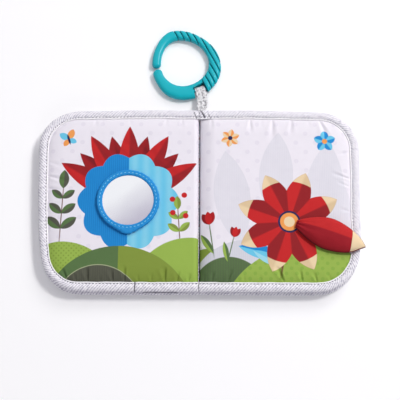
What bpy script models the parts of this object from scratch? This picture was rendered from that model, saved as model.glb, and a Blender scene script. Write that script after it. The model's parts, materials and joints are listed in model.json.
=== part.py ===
"""A crinkle cloth book lying open at its middle: two padded leaves on each side of a sewn spine, a soft
mirror on the left page, a stuffed flap on the right page, and a clip-on ring on a ribbon loop.

Metres, +Z up. X runs across the open book, Y along the spine towards the ring. The origin is the centre of
the spine strip's underside, on the surface that the book lies on. The whole open book turns about one
gutter line, which is parallel to Y at x = 0 and z = GUTTER_HEIGHT."""

import math

import bmesh
import bpy
from mathutils import Vector

for old in list(bpy.data.objects):
    bpy.data.objects.remove(old, do_unlink=True)

MM = 0.001

# Clearances
GAP = 0.3 * MM  # between pieces that touch
CUT_OVERRUN = 2.0 * MM  # how far a cutter runs past what it cuts

# Leaves
LEAF_WIDTH = 150.0 * MM  # from the gutter line to the outer edge of the binding
BOOK_HEIGHT = 176.0 * MM
CORNER_RADIUS = 36.0 * MM
LEAF_THICK = 9.0 * MM  # at the crown
FABRIC_THICK = 0.8 * MM
FILM_THICK = 0.4 * MM
GUTTER_DROP = 1.7 * MM  # from the pages' crown down to the gutter line
LEAF_INNER = 3.4 * MM  # where a leaf's padding ends, from the gutter line
LIP_INNER = 1.2 * MM  # where a page's face ends, from the gutter line
COVER_INNER = 5.0 * MM  # where a cover's padding ends, from the gutter line
INNER_HALF = 2.5 * MM  # half thickness of a page at its inner end
INNER_REACH = 20.0 * MM  # from the inner end to the full crown
PAGE_REACH = 29.0 * MM  # from the binding to a page face's full crown
HIDDEN_REACH = 15.0 * MM  # the same on the faces that lie on each other
PUCKER_DEPTH = 0.9 * MM
PUCKER_WIDTH = 3.6 * MM
PUCKER_LENGTH = 13.0 * MM
INNER_CORNER_STEP = 0.6 * MM  # least step round a leaf's inner corner
LEAST_CORNER = 2.0 * MM

# Binding tape, folded round the outer edges
BINDING_WIDTH = 8.5 * MM
TAPE_THICK = 0.9 * MM
BINDING_WEB = 1.5 * MM  # tape and turned-in edges at the outer side
BINDING_ROUND = 1.2 * MM
RISE_MARGIN = 0.1 * MM  # from the binding's gap to where a face starts to rise

# Spine
SPINE_STRIP_THICK = 0.9 * MM
SPINE_SEAM_WIDTH = 1.8 * MM
SPINE_SEAM_DEPTH = 1.5 * MM  # from the gutter line down to the top of the seam
SPINE_END_INSET = 2.0 * MM

# Mirror
MIRROR_X = -66.0 * MM
MIRROR_Y = -2.5 * MM
MIRROR_RADIUS = 26.0 * MM
MIRROR_FILM_THICK = 0.5 * MM
MIRROR_BACKING_THICK = 1.0 * MM
MIRROR_VIEW_RADIUS = 23.9 * MM
BEZEL_RADIUS = 29.4 * MM
BEZEL_HEIGHT = 3.9 * MM
BEZEL_POINT = 3.6 * MM  # how far its lower point stands out

# Stuffed flap
FLAP_ROOT_INSET = 58.0 * MM  # from the page's outer edge
FLAP_ROOT_Y = -25.0 * MM
FLAP_TURN = math.radians(-19.3)
FLAP_LENGTH = 63.3 * MM
FLAP_WIDTH = 26.0 * MM
FLAP_CROWN = 6.2 * MM  # above its seam
FLAP_BELLY = 2.8 * MM  # below its seam
FLAP_ROOT_HALF = 1.0 * MM
FLAP_SEAM_HALF = 0.9 * MM
FLAP_SEAM_HEIGHT = 3.2 * MM  # above the page's crown
FLAP_FABRIC_THICK = 0.6 * MM
FLAP_TIP_LENGTH = 14.5 * MM
FLAP_ROOT_START = 0.5 * MM
ROOT_SEAM_LENGTH = 3.0 * MM
ROOT_SEAM_WIDTH = 7.6 * MM
ROOT_SEAM_THICK = 1.4 * MM

# Clip-on ring
RING_X = -14.1 * MM
RING_Y = 142.6 * MM
RING_BORE_RADIUS = 24.3 * MM
RING_THICK = 8.0 * MM
RING_MOUTH = 1.9 * MM
RING_MOUTH_ANGLE = math.radians(190.6)
NOTCH_ANGLE = math.radians(-61.0)
NOTCH_WIDTH = 11.5 * MM  # at its inner end
NOTCH_LEFT_LEAN = math.radians(13.0)  # its walls lean with the ribbon
NOTCH_RIGHT_LEAN = math.radians(1.5)
NOTCH_INSET = 2.3 * MM  # from the bore's mean radius to the notch's inner end
BAR_RADIUS = 1.6 * MM
BAR_FROM_RIM = 4.2 * MM  # from the notch's inner end to the bar's axis
BAR_TURN = math.radians(-12.0)  # from the notch's inner end to the bar

# Ribbon loop
RIBBON_THICK = 0.8 * MM
RIBBON_WIDTH = 10.0 * MM
RIBBON_PINCH = 4.4 * MM
RIBBON_PINCH_LENGTH = 11.0 * MM
RIBBON_X = 0.8 * MM
RIBBON_OUT = 0.6 * MM  # from the book's edge to the ribbon's root
RIBBON_ROOT_HEIGHT = 12.5 * MM
RIBBON_EYE_LENGTH = 9.0 * MM  # where the two layers part, from the bar

# Places that follow from the sizes
COVER_MIDDLE = LEAF_THICK / 2
PAGE_MIDDLE = LEAF_THICK + GAP + LEAF_THICK / 2
PAGE_TOP = PAGE_MIDDLE + LEAF_THICK / 2
GUTTER_HEIGHT = PAGE_TOP - GUTTER_DROP
HALF_HEIGHT = BOOK_HEIGHT / 2
EDGE_HALF = FABRIC_THICK + GAP  # half thickness where the binding holds the fabrics
RISE_START = BINDING_WIDTH + GAP + RISE_MARGIN
SHEET_INSET = BINDING_WEB + GAP
FLAP_ROOT_X = LEAF_WIDTH - FLAP_ROOT_INSET

CROWN_SHARE = 0.7
RING_FULLNESS_SHARE = 0.82


def material(name, colour, roughness, metallic=0.0):
    made = bpy.data.materials.new(name)
    made.use_nodes = True
    shader = made.node_tree.nodes["Principled BSDF"]
    shader.inputs["Base Color"].default_value = (*colour, 1.0)
    shader.inputs["Roughness"].default_value = roughness
    shader.inputs["Metallic"].default_value = metallic
    made.diffuse_color = (*colour, 1.0)
    return made


def hinge(name, place, parent=None):
    """An empty on a joint's axis. What turns with the joint is parented to it."""
    empty = bpy.data.objects.new(name, None)
    bpy.context.collection.objects.link(empty)
    empty.location = place
    if parent is not None:
        empty.parent = parent
        empty.location = place - Vector(world_place(parent))
    return empty


def world_place(empty):
    place = empty.location.copy()
    while empty.parent is not None:
        empty = empty.parent
        place += empty.location
    return place


def add_piece(name, points, faces, look, carrier):
    """One closed mesh given in world places, hung on the hinge that carries it."""
    base = world_place(carrier)
    mesh = bpy.data.meshes.new(name)
    mesh.from_pydata([Vector(p) - base for p in points], [], faces)
    build = bmesh.new()
    build.from_mesh(mesh)
    bmesh.ops.recalc_face_normals(build, faces=build.faces)
    build.to_mesh(mesh)
    build.free()
    mesh.materials.append(look)
    mesh.shade_smooth()
    mesh.set_sharp_from_angle(angle=math.radians(40))
    made = bpy.data.objects.new(name, mesh)
    bpy.context.collection.objects.link(made)
    made.parent = carrier
    return made


def band_faces(first, second, count):
    """Triangles between two closed loops of points, which start at these places in the list."""
    faces = []
    for i in range(count):
        j = (i + 1) % count
        faces.append((first + i, first + j, second + j))
        faces.append((first + i, second + j, second + i))
    return faces


def plan_faces(first, second, outer, inner):
    """Like band_faces, with each pair of triangles split along its shorter diagonal in plan."""
    faces, count = [], len(outer)
    for i in range(count):
        j = (i + 1) % count
        if math.dist(outer[i], inner[j]) <= math.dist(outer[j], inner[i]):
            faces.append((first + i, first + j, second + j))
            faces.append((first + i, second + j, second + i))
        else:
            faces.append((first + i, first + j, second + i))
            faces.append((first + j, second + j, second + i))
    return faces


def layer(name, loops, low, high, place, look, carrier):
    """A closed solid between two heights, low and high, over plan loops that shrink towards the middle.

    place turns plan coordinates and a height into a world place."""
    count = len(loops[0])
    middle = (
        sum(p[0] for p in loops[-1]) / count,
        sum(p[1] for p in loops[-1]) / count,
    )
    points, faces, starts = [], [], []
    for height in (high, low):
        rows = []
        for loop in loops:
            rows.append(len(points))
            points += [place(u, v, height(u, v)) for u, v in loop]
        centre = len(points)
        points.append(place(*middle, height(*middle)))
        for k in range(len(loops) - 1):
            faces += plan_faces(rows[k], rows[k + 1], loops[k], loops[k + 1])
        faces += [
            (rows[-1] + i, rows[-1] + (i + 1) % count, centre) for i in range(count)
        ]
        starts.append(rows[0])
    faces += band_faces(starts[0], starts[1], count)
    return add_piece(name, points, faces, look, carrier)


# Leaf plan: u is the distance from the gutter line, v runs along it

INNER_SIDE_SHARES = (1.0, 0.5, 0.0, -0.5, -1.0)  # of the stretch between the bindings
CORNER_STEPS = 6


def leaf_loop(inset, inner, long_steps, tall_steps):
    """A leaf's outline moved in from its outer edges, with rounded outer corners."""
    far, high = LEAF_WIDTH - inset, HALF_HEIGHT - inset
    radius = max(CORNER_RADIUS - inset, LEAST_CORNER)
    side = []
    for i in range(long_steps):
        share = i / long_steps
        side.append((inner + (far - radius - inner) * share, -high))
    for i in range(CORNER_STEPS):
        angle = math.radians(90.0) * i / CORNER_STEPS
        side.append(
            (
                far - radius + radius * math.sin(angle),
                -high + radius - radius * math.cos(angle),
            )
        )
    half_side = tall_steps // 2
    for i in range(half_side):
        share = i / half_side
        side.append((far, -(high - radius) * (1.0 - share)))
    mirrored = [(u, -v) for u, v in reversed(side)]
    free = min(HALF_HEIGHT - RISE_START, high - INNER_CORNER_STEP)
    inner_side = [(inner, free * share) for share in INNER_SIDE_SHARES]
    return [*side, (far, 0.0), *mirrored, *inner_side]


def edge_depth(u, v):
    """How far a place lies in from the leaf's outer edges."""
    across, along = (
        u - (LEAF_WIDTH - CORNER_RADIUS),
        abs(v) - (HALF_HEIGHT - CORNER_RADIUS),
    )
    if across > 0 and along > 0:
        return CORNER_RADIUS - math.hypot(across, along)
    return CORNER_RADIUS - max(across, along)


def rise(depth, reach):
    """From 0 at a seam to 1 where the padding is full, steep at first."""
    share = min(max(depth / reach, 0.0), 1.0)
    return (1.0 - (1.0 - share) ** 2) ** CROWN_SHARE


def crown(u, v, inner_half, inner, reach):
    """Half thickness of a padded leaf, held down by its binding and at its inner end."""
    full = inner_half + (LEAF_THICK / 2 - inner_half) * rise(u - inner, INNER_REACH)
    return EDGE_HALF + (full - EDGE_HALF) * rise(edge_depth(u, v) - RISE_START, reach)


def pucker(u, v, puckers):
    """How far the sewn-in gathers draw a page down. A pucker is its edge, its place and its strength."""
    total = 0.0
    for edge, place_share, depth_share in puckers:
        if edge == "outer":
            along, inward = v - place_share * HALF_HEIGHT, LEAF_WIDTH - u
        else:
            along = u - place_share * LEAF_WIDTH
            inward = HALF_HEIGHT - v if edge == "top" else HALF_HEIGHT + v
        depth = inward - RISE_START
        if depth <= 0:
            continue
        fade = min(depth / PUCKER_WIDTH, 1.0) * math.exp(-depth / PUCKER_LENGTH)
        total += depth_share * fade * math.exp(-((along / PUCKER_WIDTH) ** 2))
    return PUCKER_DEPTH * min(total, 1.0)


LEFT_PUCKER_SHARES = (
    ("bottom", 0.83, 0.9),
    ("bottom", 0.70, 1.0),
    ("bottom", 0.54, 0.7),
    ("bottom", 0.46, 0.6),
    ("bottom", 0.21, 0.7),
    ("bottom", 0.13, 0.9),
    ("outer", 0.26, 0.8),
    ("outer", 0.10, 0.5),
    ("top", 0.62, 0.5),
    ("top", 0.30, 0.5),
)
RIGHT_PUCKER_SHARES = (
    ("bottom", 0.08, 0.8),
    ("bottom", 0.18, 0.9),
    ("bottom", 0.54, 1.0),
    ("bottom", 0.66, 0.9),
    ("bottom", 0.76, 0.7),
    ("top", 0.32, 0.8),
    ("top", 0.46, 0.9),
    ("top", 0.58, 0.8),
    ("top", 0.75, 1.0),
    ("outer", 0.20, 0.9),
)

# Where the loops that make a face lie on its way up from the binding and from its inner end to the crown
PAGE_RISE_SHARES = (0.0, 0.107, 0.245, 0.52, 1.0)
PAGE_INNER_SHARES = (0.0, 0.19, 0.44, 0.74, 1.39)
HIDDEN_RISE_SHARES = (0.0, 0.207, 1.0)
HIDDEN_INNER_SHARES = (0.0, 0.15, 0.4, 1.0)
PAGE_INSETS = (SHEET_INSET, *(RISE_START + PAGE_REACH * s for s in PAGE_RISE_SHARES))
PAGE_INNER_STEPS = (
    0.0,
    *(LEAF_INNER - LIP_INNER + INNER_REACH * s for s in PAGE_INNER_SHARES),
)
HIDDEN_INSETS = (
    SHEET_INSET,
    *(RISE_START + HIDDEN_REACH * s for s in HIDDEN_RISE_SHARES),
)
HIDDEN_INNER_STEPS = tuple(INNER_REACH * s for s in HIDDEN_INNER_SHARES)
FILL_INSETS = HIDDEN_INSETS[2:]
FILL_INNER_STEPS = HIDDEN_INNER_STEPS[2:]
PAGE_LONG_STEPS, PAGE_TALL_STEPS = 15, 14
HIDDEN_LONG_STEPS, HIDDEN_TALL_STEPS = 3, 4


def loops_of(insets, inner, inner_steps, long_steps, tall_steps):
    return [
        leaf_loop(inset, inner + step, long_steps, tall_steps)
        for inset, step in zip(insets, inner_steps)
    ]


class Leaf:
    """One padded leaf: which side it lies on, its middle height, its inner end and its hinge."""

    def __init__(self, name, side, middle, inner, carrier, top_name, bottom_name):
        self.name, self.side, self.middle = name, side, middle
        self.inner, self.carrier = inner, carrier
        self.top_name, self.bottom_name = top_name, bottom_name

    def place(self, u, v, height):
        return (self.side * u, v, self.middle + height)


def sheet(leaf, name, top, face, look, insets, inner, inner_steps, long_steps, tall_steps):
    """A leaf's fabric, above or below its padding, one fabric thick under the surface that face gives."""
    loops = loops_of(insets, inner, inner_steps, long_steps, tall_steps)
    if top:
        low, high = (lambda u, v: face(u, v) - FABRIC_THICK), face
    else:
        low, high = (lambda u, v: -face(u, v)), (
            lambda u, v: FABRIC_THICK - face(u, v)
        )
    layer(name, loops, low, high, leaf.place, look, leaf.carrier)


def hidden_sheet(leaf, name, top, face, look):
    sheet(
        leaf,
        name,
        top,
        face,
        look,
        HIDDEN_INSETS,
        leaf.inner,
        HIDDEN_INNER_STEPS,
        HIDDEN_LONG_STEPS,
        HIDDEN_TALL_STEPS,
    )


def page_sheet(leaf, name, face, look):
    sheet(
        leaf,
        name,
        True,
        face,
        look,
        PAGE_INSETS,
        LIP_INNER,
        PAGE_INNER_STEPS,
        PAGE_LONG_STEPS,
        PAGE_TALL_STEPS,
    )


def fill_leaf(leaf, top_face, bottom_face, spare):
    """The crinkle film under the top fabric and the padding below it, kept clear of puckers by spare."""

    def film_high(u, v):
        return top_face(u, v) - FABRIC_THICK - GAP - spare(u, v)

    def film_low(u, v):
        return film_high(u, v) - FILM_THICK

    def padding_high(u, v):
        return film_low(u, v) - GAP

    def padding_low(u, v):
        return FABRIC_THICK + GAP - bottom_face(u, v)

    loops = loops_of(
        FILL_INSETS, leaf.inner, FILL_INNER_STEPS, HIDDEN_LONG_STEPS, HIDDEN_TALL_STEPS
    )
    layer(
        leaf.name + "_crinkle_film",
        loops,
        film_low,
        film_high,
        leaf.place,
        FILM_LOOK,
        leaf.carrier,
    )
    layer(
        leaf.name + "_padding",
        loops,
        padding_low,
        padding_high,
        leaf.place,
        PADDING_LOOK,
        leaf.carrier,
    )


def binding(leaf):
    """Twill tape folded over the leaf's three outer edges, as one channel that ends at the gutter."""
    slot = EDGE_HALF + GAP
    outer = slot + TAPE_THICK
    shoulder = outer - BINDING_ROUND
    half = [
        (0.0, shoulder),
        (BINDING_ROUND, outer),
        (BINDING_WIDTH, outer),
        (BINDING_WIDTH, slot),
        (BINDING_WEB, slot),
    ]
    profile = half + [(inset, -height) for inset, height in reversed(half)]
    tracks = []
    for inset, height in profile:
        loop = leaf_loop(inset, leaf.inner, 1, 2)
        outer_side = loop[: len(loop) - len(INNER_SIDE_SHARES)]
        tracks.append([leaf.place(u, v, height) for u, v in outer_side])
    stations, sides = len(tracks[0]), len(profile)
    points = [tracks[k][s] for s in range(stations) for k in range(sides)]
    faces = [tuple(range(sides)), tuple(range((stations - 1) * sides, stations * sides))]
    for s in range(stations - 1):
        faces += band_faces(s * sides, (s + 1) * sides, sides)
    add_piece(leaf.name + "_binding", points, faces, TAPE_LOOK, leaf.carrier)


def no_spare(_u, _v):
    return 0.0


def page_spare(u, v):
    """Room for the deepest pucker where the film nears the binding."""
    near = max(0.0, 1.0 - (edge_depth(u, v) - RISE_START) / PAGE_REACH)
    return PUCKER_DEPTH * near


def page_leaf(leaf, puckers, look, reverse_look):
    """An inner leaf: a puckered face that runs into the gutter, and a reverse that lies on the cover."""

    def face(u, v):
        return crown(u, v, INNER_HALF, leaf.inner, PAGE_REACH) - pucker(u, v, puckers)

    def smooth_face(u, v):
        return crown(u, v, INNER_HALF, leaf.inner, PAGE_REACH)

    def reverse(u, v):
        return crown(u, v, INNER_HALF, leaf.inner, HIDDEN_REACH)

    page_sheet(leaf, leaf.top_name, face, look)
    hidden_sheet(leaf, leaf.bottom_name, False, reverse, reverse_look)
    fill_leaf(leaf, smooth_face, reverse, page_spare)
    binding(leaf)


def cover_leaf(leaf, look, lining_look):
    """An outer leaf: its fabric lies flat on the surface below and meets the spine strip."""

    def lining(u, v):
        return crown(u, v, INNER_HALF, leaf.inner, HIDDEN_REACH)

    def outside(u, v):
        return crown(u, v, LEAF_THICK / 2, leaf.inner, HIDDEN_REACH)

    hidden_sheet(leaf, leaf.bottom_name, False, outside, look)
    hidden_sheet(leaf, leaf.top_name, True, lining, lining_look)
    fill_leaf(leaf, lining, outside, no_spare)
    binding(leaf)


# Looks

PRINT_LOOK = material("page_print", (0.86, 0.84, 0.90), 0.8)
LINING_LOOK = material("lining_print", (0.85, 0.86, 0.90), 0.8)
COVER_LOOK = material("cover_cloth", (0.62, 0.80, 0.90), 0.8)
TAPE_LOOK = material("twill_tape", (0.84, 0.84, 0.86), 0.9)
PADDING_LOOK = material("white_padding", (0.93, 0.93, 0.92), 1.0)
FILM_LOOK = material("crinkle_film", (0.85, 0.87, 0.90), 0.3)
MIRROR_LOOK = material("mirror_film", (0.90, 0.91, 0.92), 0.04, 1.0)
BEZEL_LOOK = material("blue_cloth", (0.03, 0.30, 0.62), 0.75)
RED_LOOK = material("red_cloth", (0.42, 0.02, 0.03), 0.8)
TIP_LOOK = material("cream_cloth", (0.83, 0.62, 0.38), 0.8)
RING_LOOK = material("teal_plastic", (0.01, 0.48, 0.58), 0.35)
RIBBON_LOOK = material("silver_ribbon", (0.78, 0.78, 0.80), 0.5)

# Hinges

gutter = Vector((0.0, 0.0, GUTTER_HEIGHT))
book = hinge("book", Vector((0.0, 0.0, 0.0)))
front_cover_hinge = hinge("front_cover_hinge", gutter, book)
left_page_hinge = hinge("left_page_hinge", gutter, front_cover_hinge)
right_page_hinge = hinge("right_page_hinge", gutter, book)
flap_hinge = hinge(
    "flap_hinge",
    Vector((FLAP_ROOT_X, FLAP_ROOT_Y, PAGE_TOP + FLAP_SEAM_HEIGHT)),
    right_page_hinge,
)
loop_hinge = hinge(
    "loop_hinge",
    Vector((RIBBON_X, HALF_HEIGHT + RIBBON_OUT, RIBBON_ROOT_HEIGHT)),
    book,
)
bar_reach = RING_BORE_RADIUS + NOTCH_INSET + BAR_FROM_RIM
bar_place = Vector(
    (
        RING_X + bar_reach * math.cos(NOTCH_ANGLE),
        RING_Y + bar_reach * math.sin(NOTCH_ANGLE),
        RING_THICK / 2,
    )
)
ring_hinge = hinge("ring_hinge", bar_place, loop_hinge)

# The four leaves

front_cover = Leaf(
    "front_cover",
    -1,
    COVER_MIDDLE,
    COVER_INNER,
    front_cover_hinge,
    "front_cover_lining",
    "front_cover_fabric",
)
back_cover = Leaf(
    "back_cover",
    1,
    COVER_MIDDLE,
    COVER_INNER,
    book,
    "back_cover_lining",
    "back_cover_fabric",
)
left_page = Leaf(
    "left_page",
    -1,
    PAGE_MIDDLE,
    LEAF_INNER,
    left_page_hinge,
    "left_page_face",
    "left_page_reverse",
)
right_page = Leaf(
    "right_page",
    1,
    PAGE_MIDDLE,
    LEAF_INNER,
    right_page_hinge,
    "right_page_face",
    "right_page_reverse",
)
cover_leaf(front_cover, COVER_LOOK, LINING_LOOK)
cover_leaf(back_cover, COVER_LOOK, LINING_LOOK)
page_leaf(left_page, LEFT_PUCKER_SHARES, PRINT_LOOK, LINING_LOOK)
page_leaf(right_page, RIGHT_PUCKER_SHARES, PRINT_LOOK, LINING_LOOK)


# Spine


def block(name, low, high, look, carrier):
    """A cuboid between two corners."""
    points = [
        (x, y, z)
        for x in (low[0], high[0])
        for y in (low[1], high[1])
        for z in (low[2], high[2])
    ]
    faces = [
        (0, 1, 3, 2),
        (4, 6, 7, 5),
        (0, 4, 5, 1),
        (2, 3, 7, 6),
        (0, 2, 6, 4),
        (1, 5, 7, 3),
    ]
    return add_piece(name, points, faces, look, carrier)


def spine():
    """The outer strip that joins the two covers, and the seam that stands on it in the gutter."""
    strip_half = COVER_INNER - GAP
    end = HALF_HEIGHT - SPINE_END_INSET
    block(
        "spine_strip",
        (-strip_half, -end, 0.0),
        (strip_half, end, SPINE_STRIP_THICK),
        COVER_LOOK,
        book,
    )
    seam_end = HALF_HEIGHT + RIBBON_OUT - RIBBON_THICK - GAP
    block(
        "spine_seam",
        (-SPINE_SEAM_WIDTH / 2, -end, SPINE_STRIP_THICK + GAP),
        (SPINE_SEAM_WIDTH / 2, seam_end, GUTTER_HEIGHT - SPINE_SEAM_DEPTH),
        TAPE_LOOK,
        book,
    )


spine()


# Mirror on the left page

MIRROR_STEPS = 36
BEZEL_POINT_POWER = 24  # how narrow the bezel's point is
# The bezel's section from its outer foot over its crown: in from the outside, and up
BEZEL_SECTION_SHARES = (
    (0.10, 0.0),
    (0.0, 0.40),
    (0.14, 0.75),
    (0.42, 1.0),
    (0.78, 0.93),
    (1.0, 0.72),
)


def turned(name, profile, steps, look, carrier, point=0.0):
    """A closed profile of (radius, height) turned about the mirror's middle. point pulls its lowest side out."""
    sides = len(profile)
    widest = max(r for r, _ in profile)
    points = []
    for s in range(steps):
        angle = math.tau * s / steps
        lobe = max(0.0, -math.sin(angle)) ** BEZEL_POINT_POWER
        for radius, height in profile:
            pulled = radius + point * lobe * max(
                0.0, (radius - MIRROR_VIEW_RADIUS) / (widest - MIRROR_VIEW_RADIUS)
            )
            points.append(
                (
                    MIRROR_X + pulled * math.cos(angle),
                    MIRROR_Y + pulled * math.sin(angle),
                    PAGE_TOP + height,
                )
            )
    faces = []
    for s in range(steps):
        faces += band_faces(s * sides, ((s + 1) % steps) * sides, sides)
    return add_piece(name, points, faces, look, carrier)


def disc(name, radius, low, thick, steps, look, carrier):
    points, faces = [], []
    for height in (low, low + thick):
        for s in range(steps):
            angle = math.tau * s / steps
            points.append(
                (
                    MIRROR_X + radius * math.cos(angle),
                    MIRROR_Y + radius * math.sin(angle),
                    PAGE_TOP + height,
                )
            )
    faces = [tuple(range(steps)), tuple(range(steps, 2 * steps))]
    faces += band_faces(0, steps, steps)
    return add_piece(name, points, faces, look, carrier)


def mirror():
    backing_low = GAP
    film_low = backing_low + MIRROR_BACKING_THICK + GAP
    film_high = film_low + MIRROR_FILM_THICK
    disc(
        "mirror_backing",
        MIRROR_RADIUS,
        backing_low,
        MIRROR_BACKING_THICK,
        MIRROR_STEPS,
        PADDING_LOOK,
        left_page_hinge,
    )
    disc(
        "mirror_film",
        MIRROR_RADIUS,
        film_low,
        MIRROR_FILM_THICK,
        MIRROR_STEPS,
        MIRROR_LOOK,
        left_page_hinge,
    )
    inner_wall = MIRROR_RADIUS + GAP
    lip_low = film_high + GAP
    width = BEZEL_RADIUS - MIRROR_VIEW_RADIUS
    tube = [
        (BEZEL_RADIUS - inward * width, GAP + up * (BEZEL_HEIGHT - GAP))
        for inward, up in BEZEL_SECTION_SHARES
    ]
    profile = [
        (inner_wall, GAP),
        *tube,
        (MIRROR_VIEW_RADIUS, lip_low),
        (inner_wall, lip_low),
    ]
    turned(
        "mirror_bezel",
        profile,
        MIRROR_STEPS,
        BEZEL_LOOK,
        left_page_hinge,
        BEZEL_POINT,
    )


mirror()


# Stuffed flap on the right page: a is the distance from its root, b runs across it

FLAP_UPPER_SHARES = (
    (0.0, 0.14),
    (0.06, 0.25),
    (0.24, 0.47),
    (0.44, 0.58),
    (0.63, 0.52),
    (0.79, 0.40),
    (0.92, 0.20),
    (1.0, 0.0),
)
FLAP_LOWER_SHARES = (
    (0.0, -0.14),
    (0.06, -0.20),
    (0.25, -0.365),
    (0.43, -0.42),
    (0.60, -0.41),
    (0.83, -0.30),
    (0.95, -0.12),
    (1.0, 0.0),
)
FLAP_HEIGHT_SHARES = (
    (0.0, 0.0),
    (0.08, 0.32),
    (0.25, 0.78),
    (0.44, 1.0),
    (0.65, 0.93),
    (0.80, 0.68),
    (0.92, 0.36),
    (1.0, 0.0),
)
FLAP_LOOP_SHARES = (1.0, 0.82, 0.55, 0.25)
FLAP_STEPS = 9
FLAP_DOME_SHARE = 0.6


def along_table(table, share):
    """A smooth curve through a table of (place, value) shares."""
    for i, ((x0, y0), (x1, y1)) in enumerate(zip(table, table[1:])):
        if share <= x1:
            before, after = table[max(i - 1, 0)], table[min(i + 2, len(table) - 1)]
            step, part = x1 - x0, (share - x0) / (x1 - x0)
            slope0 = step * (y1 - before[1]) / (x1 - before[0])
            slope1 = step * (after[1] - y0) / (after[0] - x0)
            s2, s3 = part**2, part**3
            rest = 3 * s2 - 2 * s3
            bend = slope0 * (s3 - 2 * s2 + part) + slope1 * (s3 - s2)
            return y0 + (y1 - y0) * rest + bend
    return table[-1][1]


def flap_half_width(a):
    share = a / FLAP_LENGTH
    upper = FLAP_WIDTH * along_table(FLAP_UPPER_SHARES, share)
    lower = FLAP_WIDTH * along_table(FLAP_LOWER_SHARES, share)
    return lower, upper


def flap_dome(a, b, full):
    """Height of the flap's surface over its seam plane."""
    lower, upper = flap_half_width(min(max(a, 0.0), FLAP_LENGTH))
    half = max((upper - lower) / 2, FLAP_SEAM_HALF / 2)
    off = min(abs(b - (upper + lower) / 2) / half, 1.0)
    share = min(max(a / FLAP_LENGTH, 0.0), 1.0)
    top = FLAP_ROOT_HALF + (full - FLAP_ROOT_HALF) * along_table(
        FLAP_HEIGHT_SHARES, share
    )
    return FLAP_SEAM_HALF + (top - FLAP_SEAM_HALF) * (1.0 - off**2) ** FLAP_DOME_SHARE


def flap_place(a, b, height):
    across, along = math.cos(FLAP_TURN), math.sin(FLAP_TURN)
    return (
        FLAP_ROOT_X + a * across - b * along,
        FLAP_ROOT_Y + a * along + b * across,
        PAGE_TOP + FLAP_SEAM_HEIGHT + height,
    )


def flap_loops(near, far):
    """Outlines of a stretch of the flap, shrunk towards its middle."""
    upper_side, lower_side = [], []
    for i in range(FLAP_STEPS + 1):
        a = near + (far - near) * i / FLAP_STEPS
        lower, upper = flap_half_width(a)
        upper_side.append((a, upper))
        if upper > lower:
            lower_side.append((a, lower))
    outline = lower_side + upper_side[::-1]
    lower, upper = flap_half_width((near + far) / 2)
    middle = ((near + far) / 2, (lower + upper) / 2)
    return [
        [
            (
                middle[0] + (a - middle[0]) * share,
                middle[1] + (b - middle[1]) * share,
            )
            for a, b in outline
        ]
        for share in FLAP_LOOP_SHARES
    ]


def flap():
    body_end = FLAP_LENGTH - FLAP_TIP_LENGTH
    fabric, skin_gap = FLAP_FABRIC_THICK, FLAP_FABRIC_THICK + GAP
    skin = flap_loops(FLAP_ROOT_START, body_end)
    inside = skin[1:]

    def top(a, b):
        return flap_dome(a, b, FLAP_CROWN)

    def under(a, b):
        return -flap_dome(a, b, FLAP_BELLY)

    def flap_layer(name, loops, low, high, look):
        layer(name, loops, low, high, flap_place, look, flap_hinge)

    flap_layer("flap_top_fabric", skin, lambda a, b: top(a, b) - fabric, top, RED_LOOK)
    flap_layer(
        "flap_under_fabric", skin, under, lambda a, b: under(a, b) + fabric, RED_LOOK
    )
    flap_layer(
        "flap_crinkle_film",
        inside,
        lambda a, b: top(a, b) - skin_gap - FILM_THICK,
        lambda a, b: top(a, b) - skin_gap,
        FILM_LOOK,
    )
    flap_layer(
        "flap_filling",
        inside,
        lambda a, b: under(a, b) + skin_gap,
        lambda a, b: top(a, b) - skin_gap - FILM_THICK - GAP,
        PADDING_LOOK,
    )
    tip = flap_loops(body_end + GAP, FLAP_LENGTH)
    flap_layer("flap_tip", tip, under, top, TIP_LOOK)


def flap_root_seam():
    """The stitched tack that holds the flap's gathered root down on the page."""
    half_length, half_width = ROOT_SEAM_LENGTH / 2, ROOT_SEAM_WIDTH / 2
    low = GAP - FLAP_SEAM_HEIGHT
    corners = [
        (-half_length, -half_width),
        (half_length, -half_width),
        (half_length, half_width),
        (-half_length, half_width),
    ]
    points = [flap_place(a, b, low) for a, b in corners]
    points += [flap_place(a, b, low + ROOT_SEAM_THICK) for a, b in corners]
    faces = [(0, 1, 2, 3), (4, 5, 6, 7)] + band_faces(0, 4, len(corners))
    add_piece("flap_root_seam", points, faces, RED_LOOK, right_page_hinge)


flap()
flap_root_seam()


# Clip-on ring

# Its bore and its outer side by angles in degrees, as shares of the bore's mean radius
RING_INNER_SHARES = (
    (-168.0, 0.98),
    (-150.0, 1.00),
    (-120.0, 1.00),
    (-95.0, 0.97),
    (-70.0, 0.93),
    (-45.0, 0.92),
    (-20.0, 0.95),
    (10.0, 0.97),
    (40.0, 0.98),
    (65.0, 1.02),
    (90.0, 1.08),
    (115.0, 1.14),
    (135.0, 1.10),
    (150.0, 1.04),
    (170.0, 0.99),
    (190.0, 0.98),
)
RING_OUTER_SHARES = (
    (-168.0, 1.36),
    (-155.0, 1.39),
    (-140.0, 1.43),
    (-120.0, 1.53),
    (-100.0, 1.56),
    (-80.0, 1.54),
    (-55.0, 1.53),
    (-35.0, 1.52),
    (-8.0, 1.49),
    (15.0, 1.43),
    (40.0, 1.38),
    (63.0, 1.37),
    (88.0, 1.46),
    (114.0, 1.58),
    (128.0, 1.53),
    (145.0, 1.43),
    (167.0, 1.36),
    (190.0, 1.34),
)
RING_STEPS = 44
RING_SIDES = 12
RING_END_SHARES = (0.45, 0.86)  # how full the rounded arm ends are
RING_WIDEST_SHARE = math.cos(math.pi / RING_SIDES) ** RING_FULLNESS_SHARE
MOUTH_RADIUS_SHARE = 1.15  # where the mouth's width is measured, of the bore's radius
BAR_SIDES = 12


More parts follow.
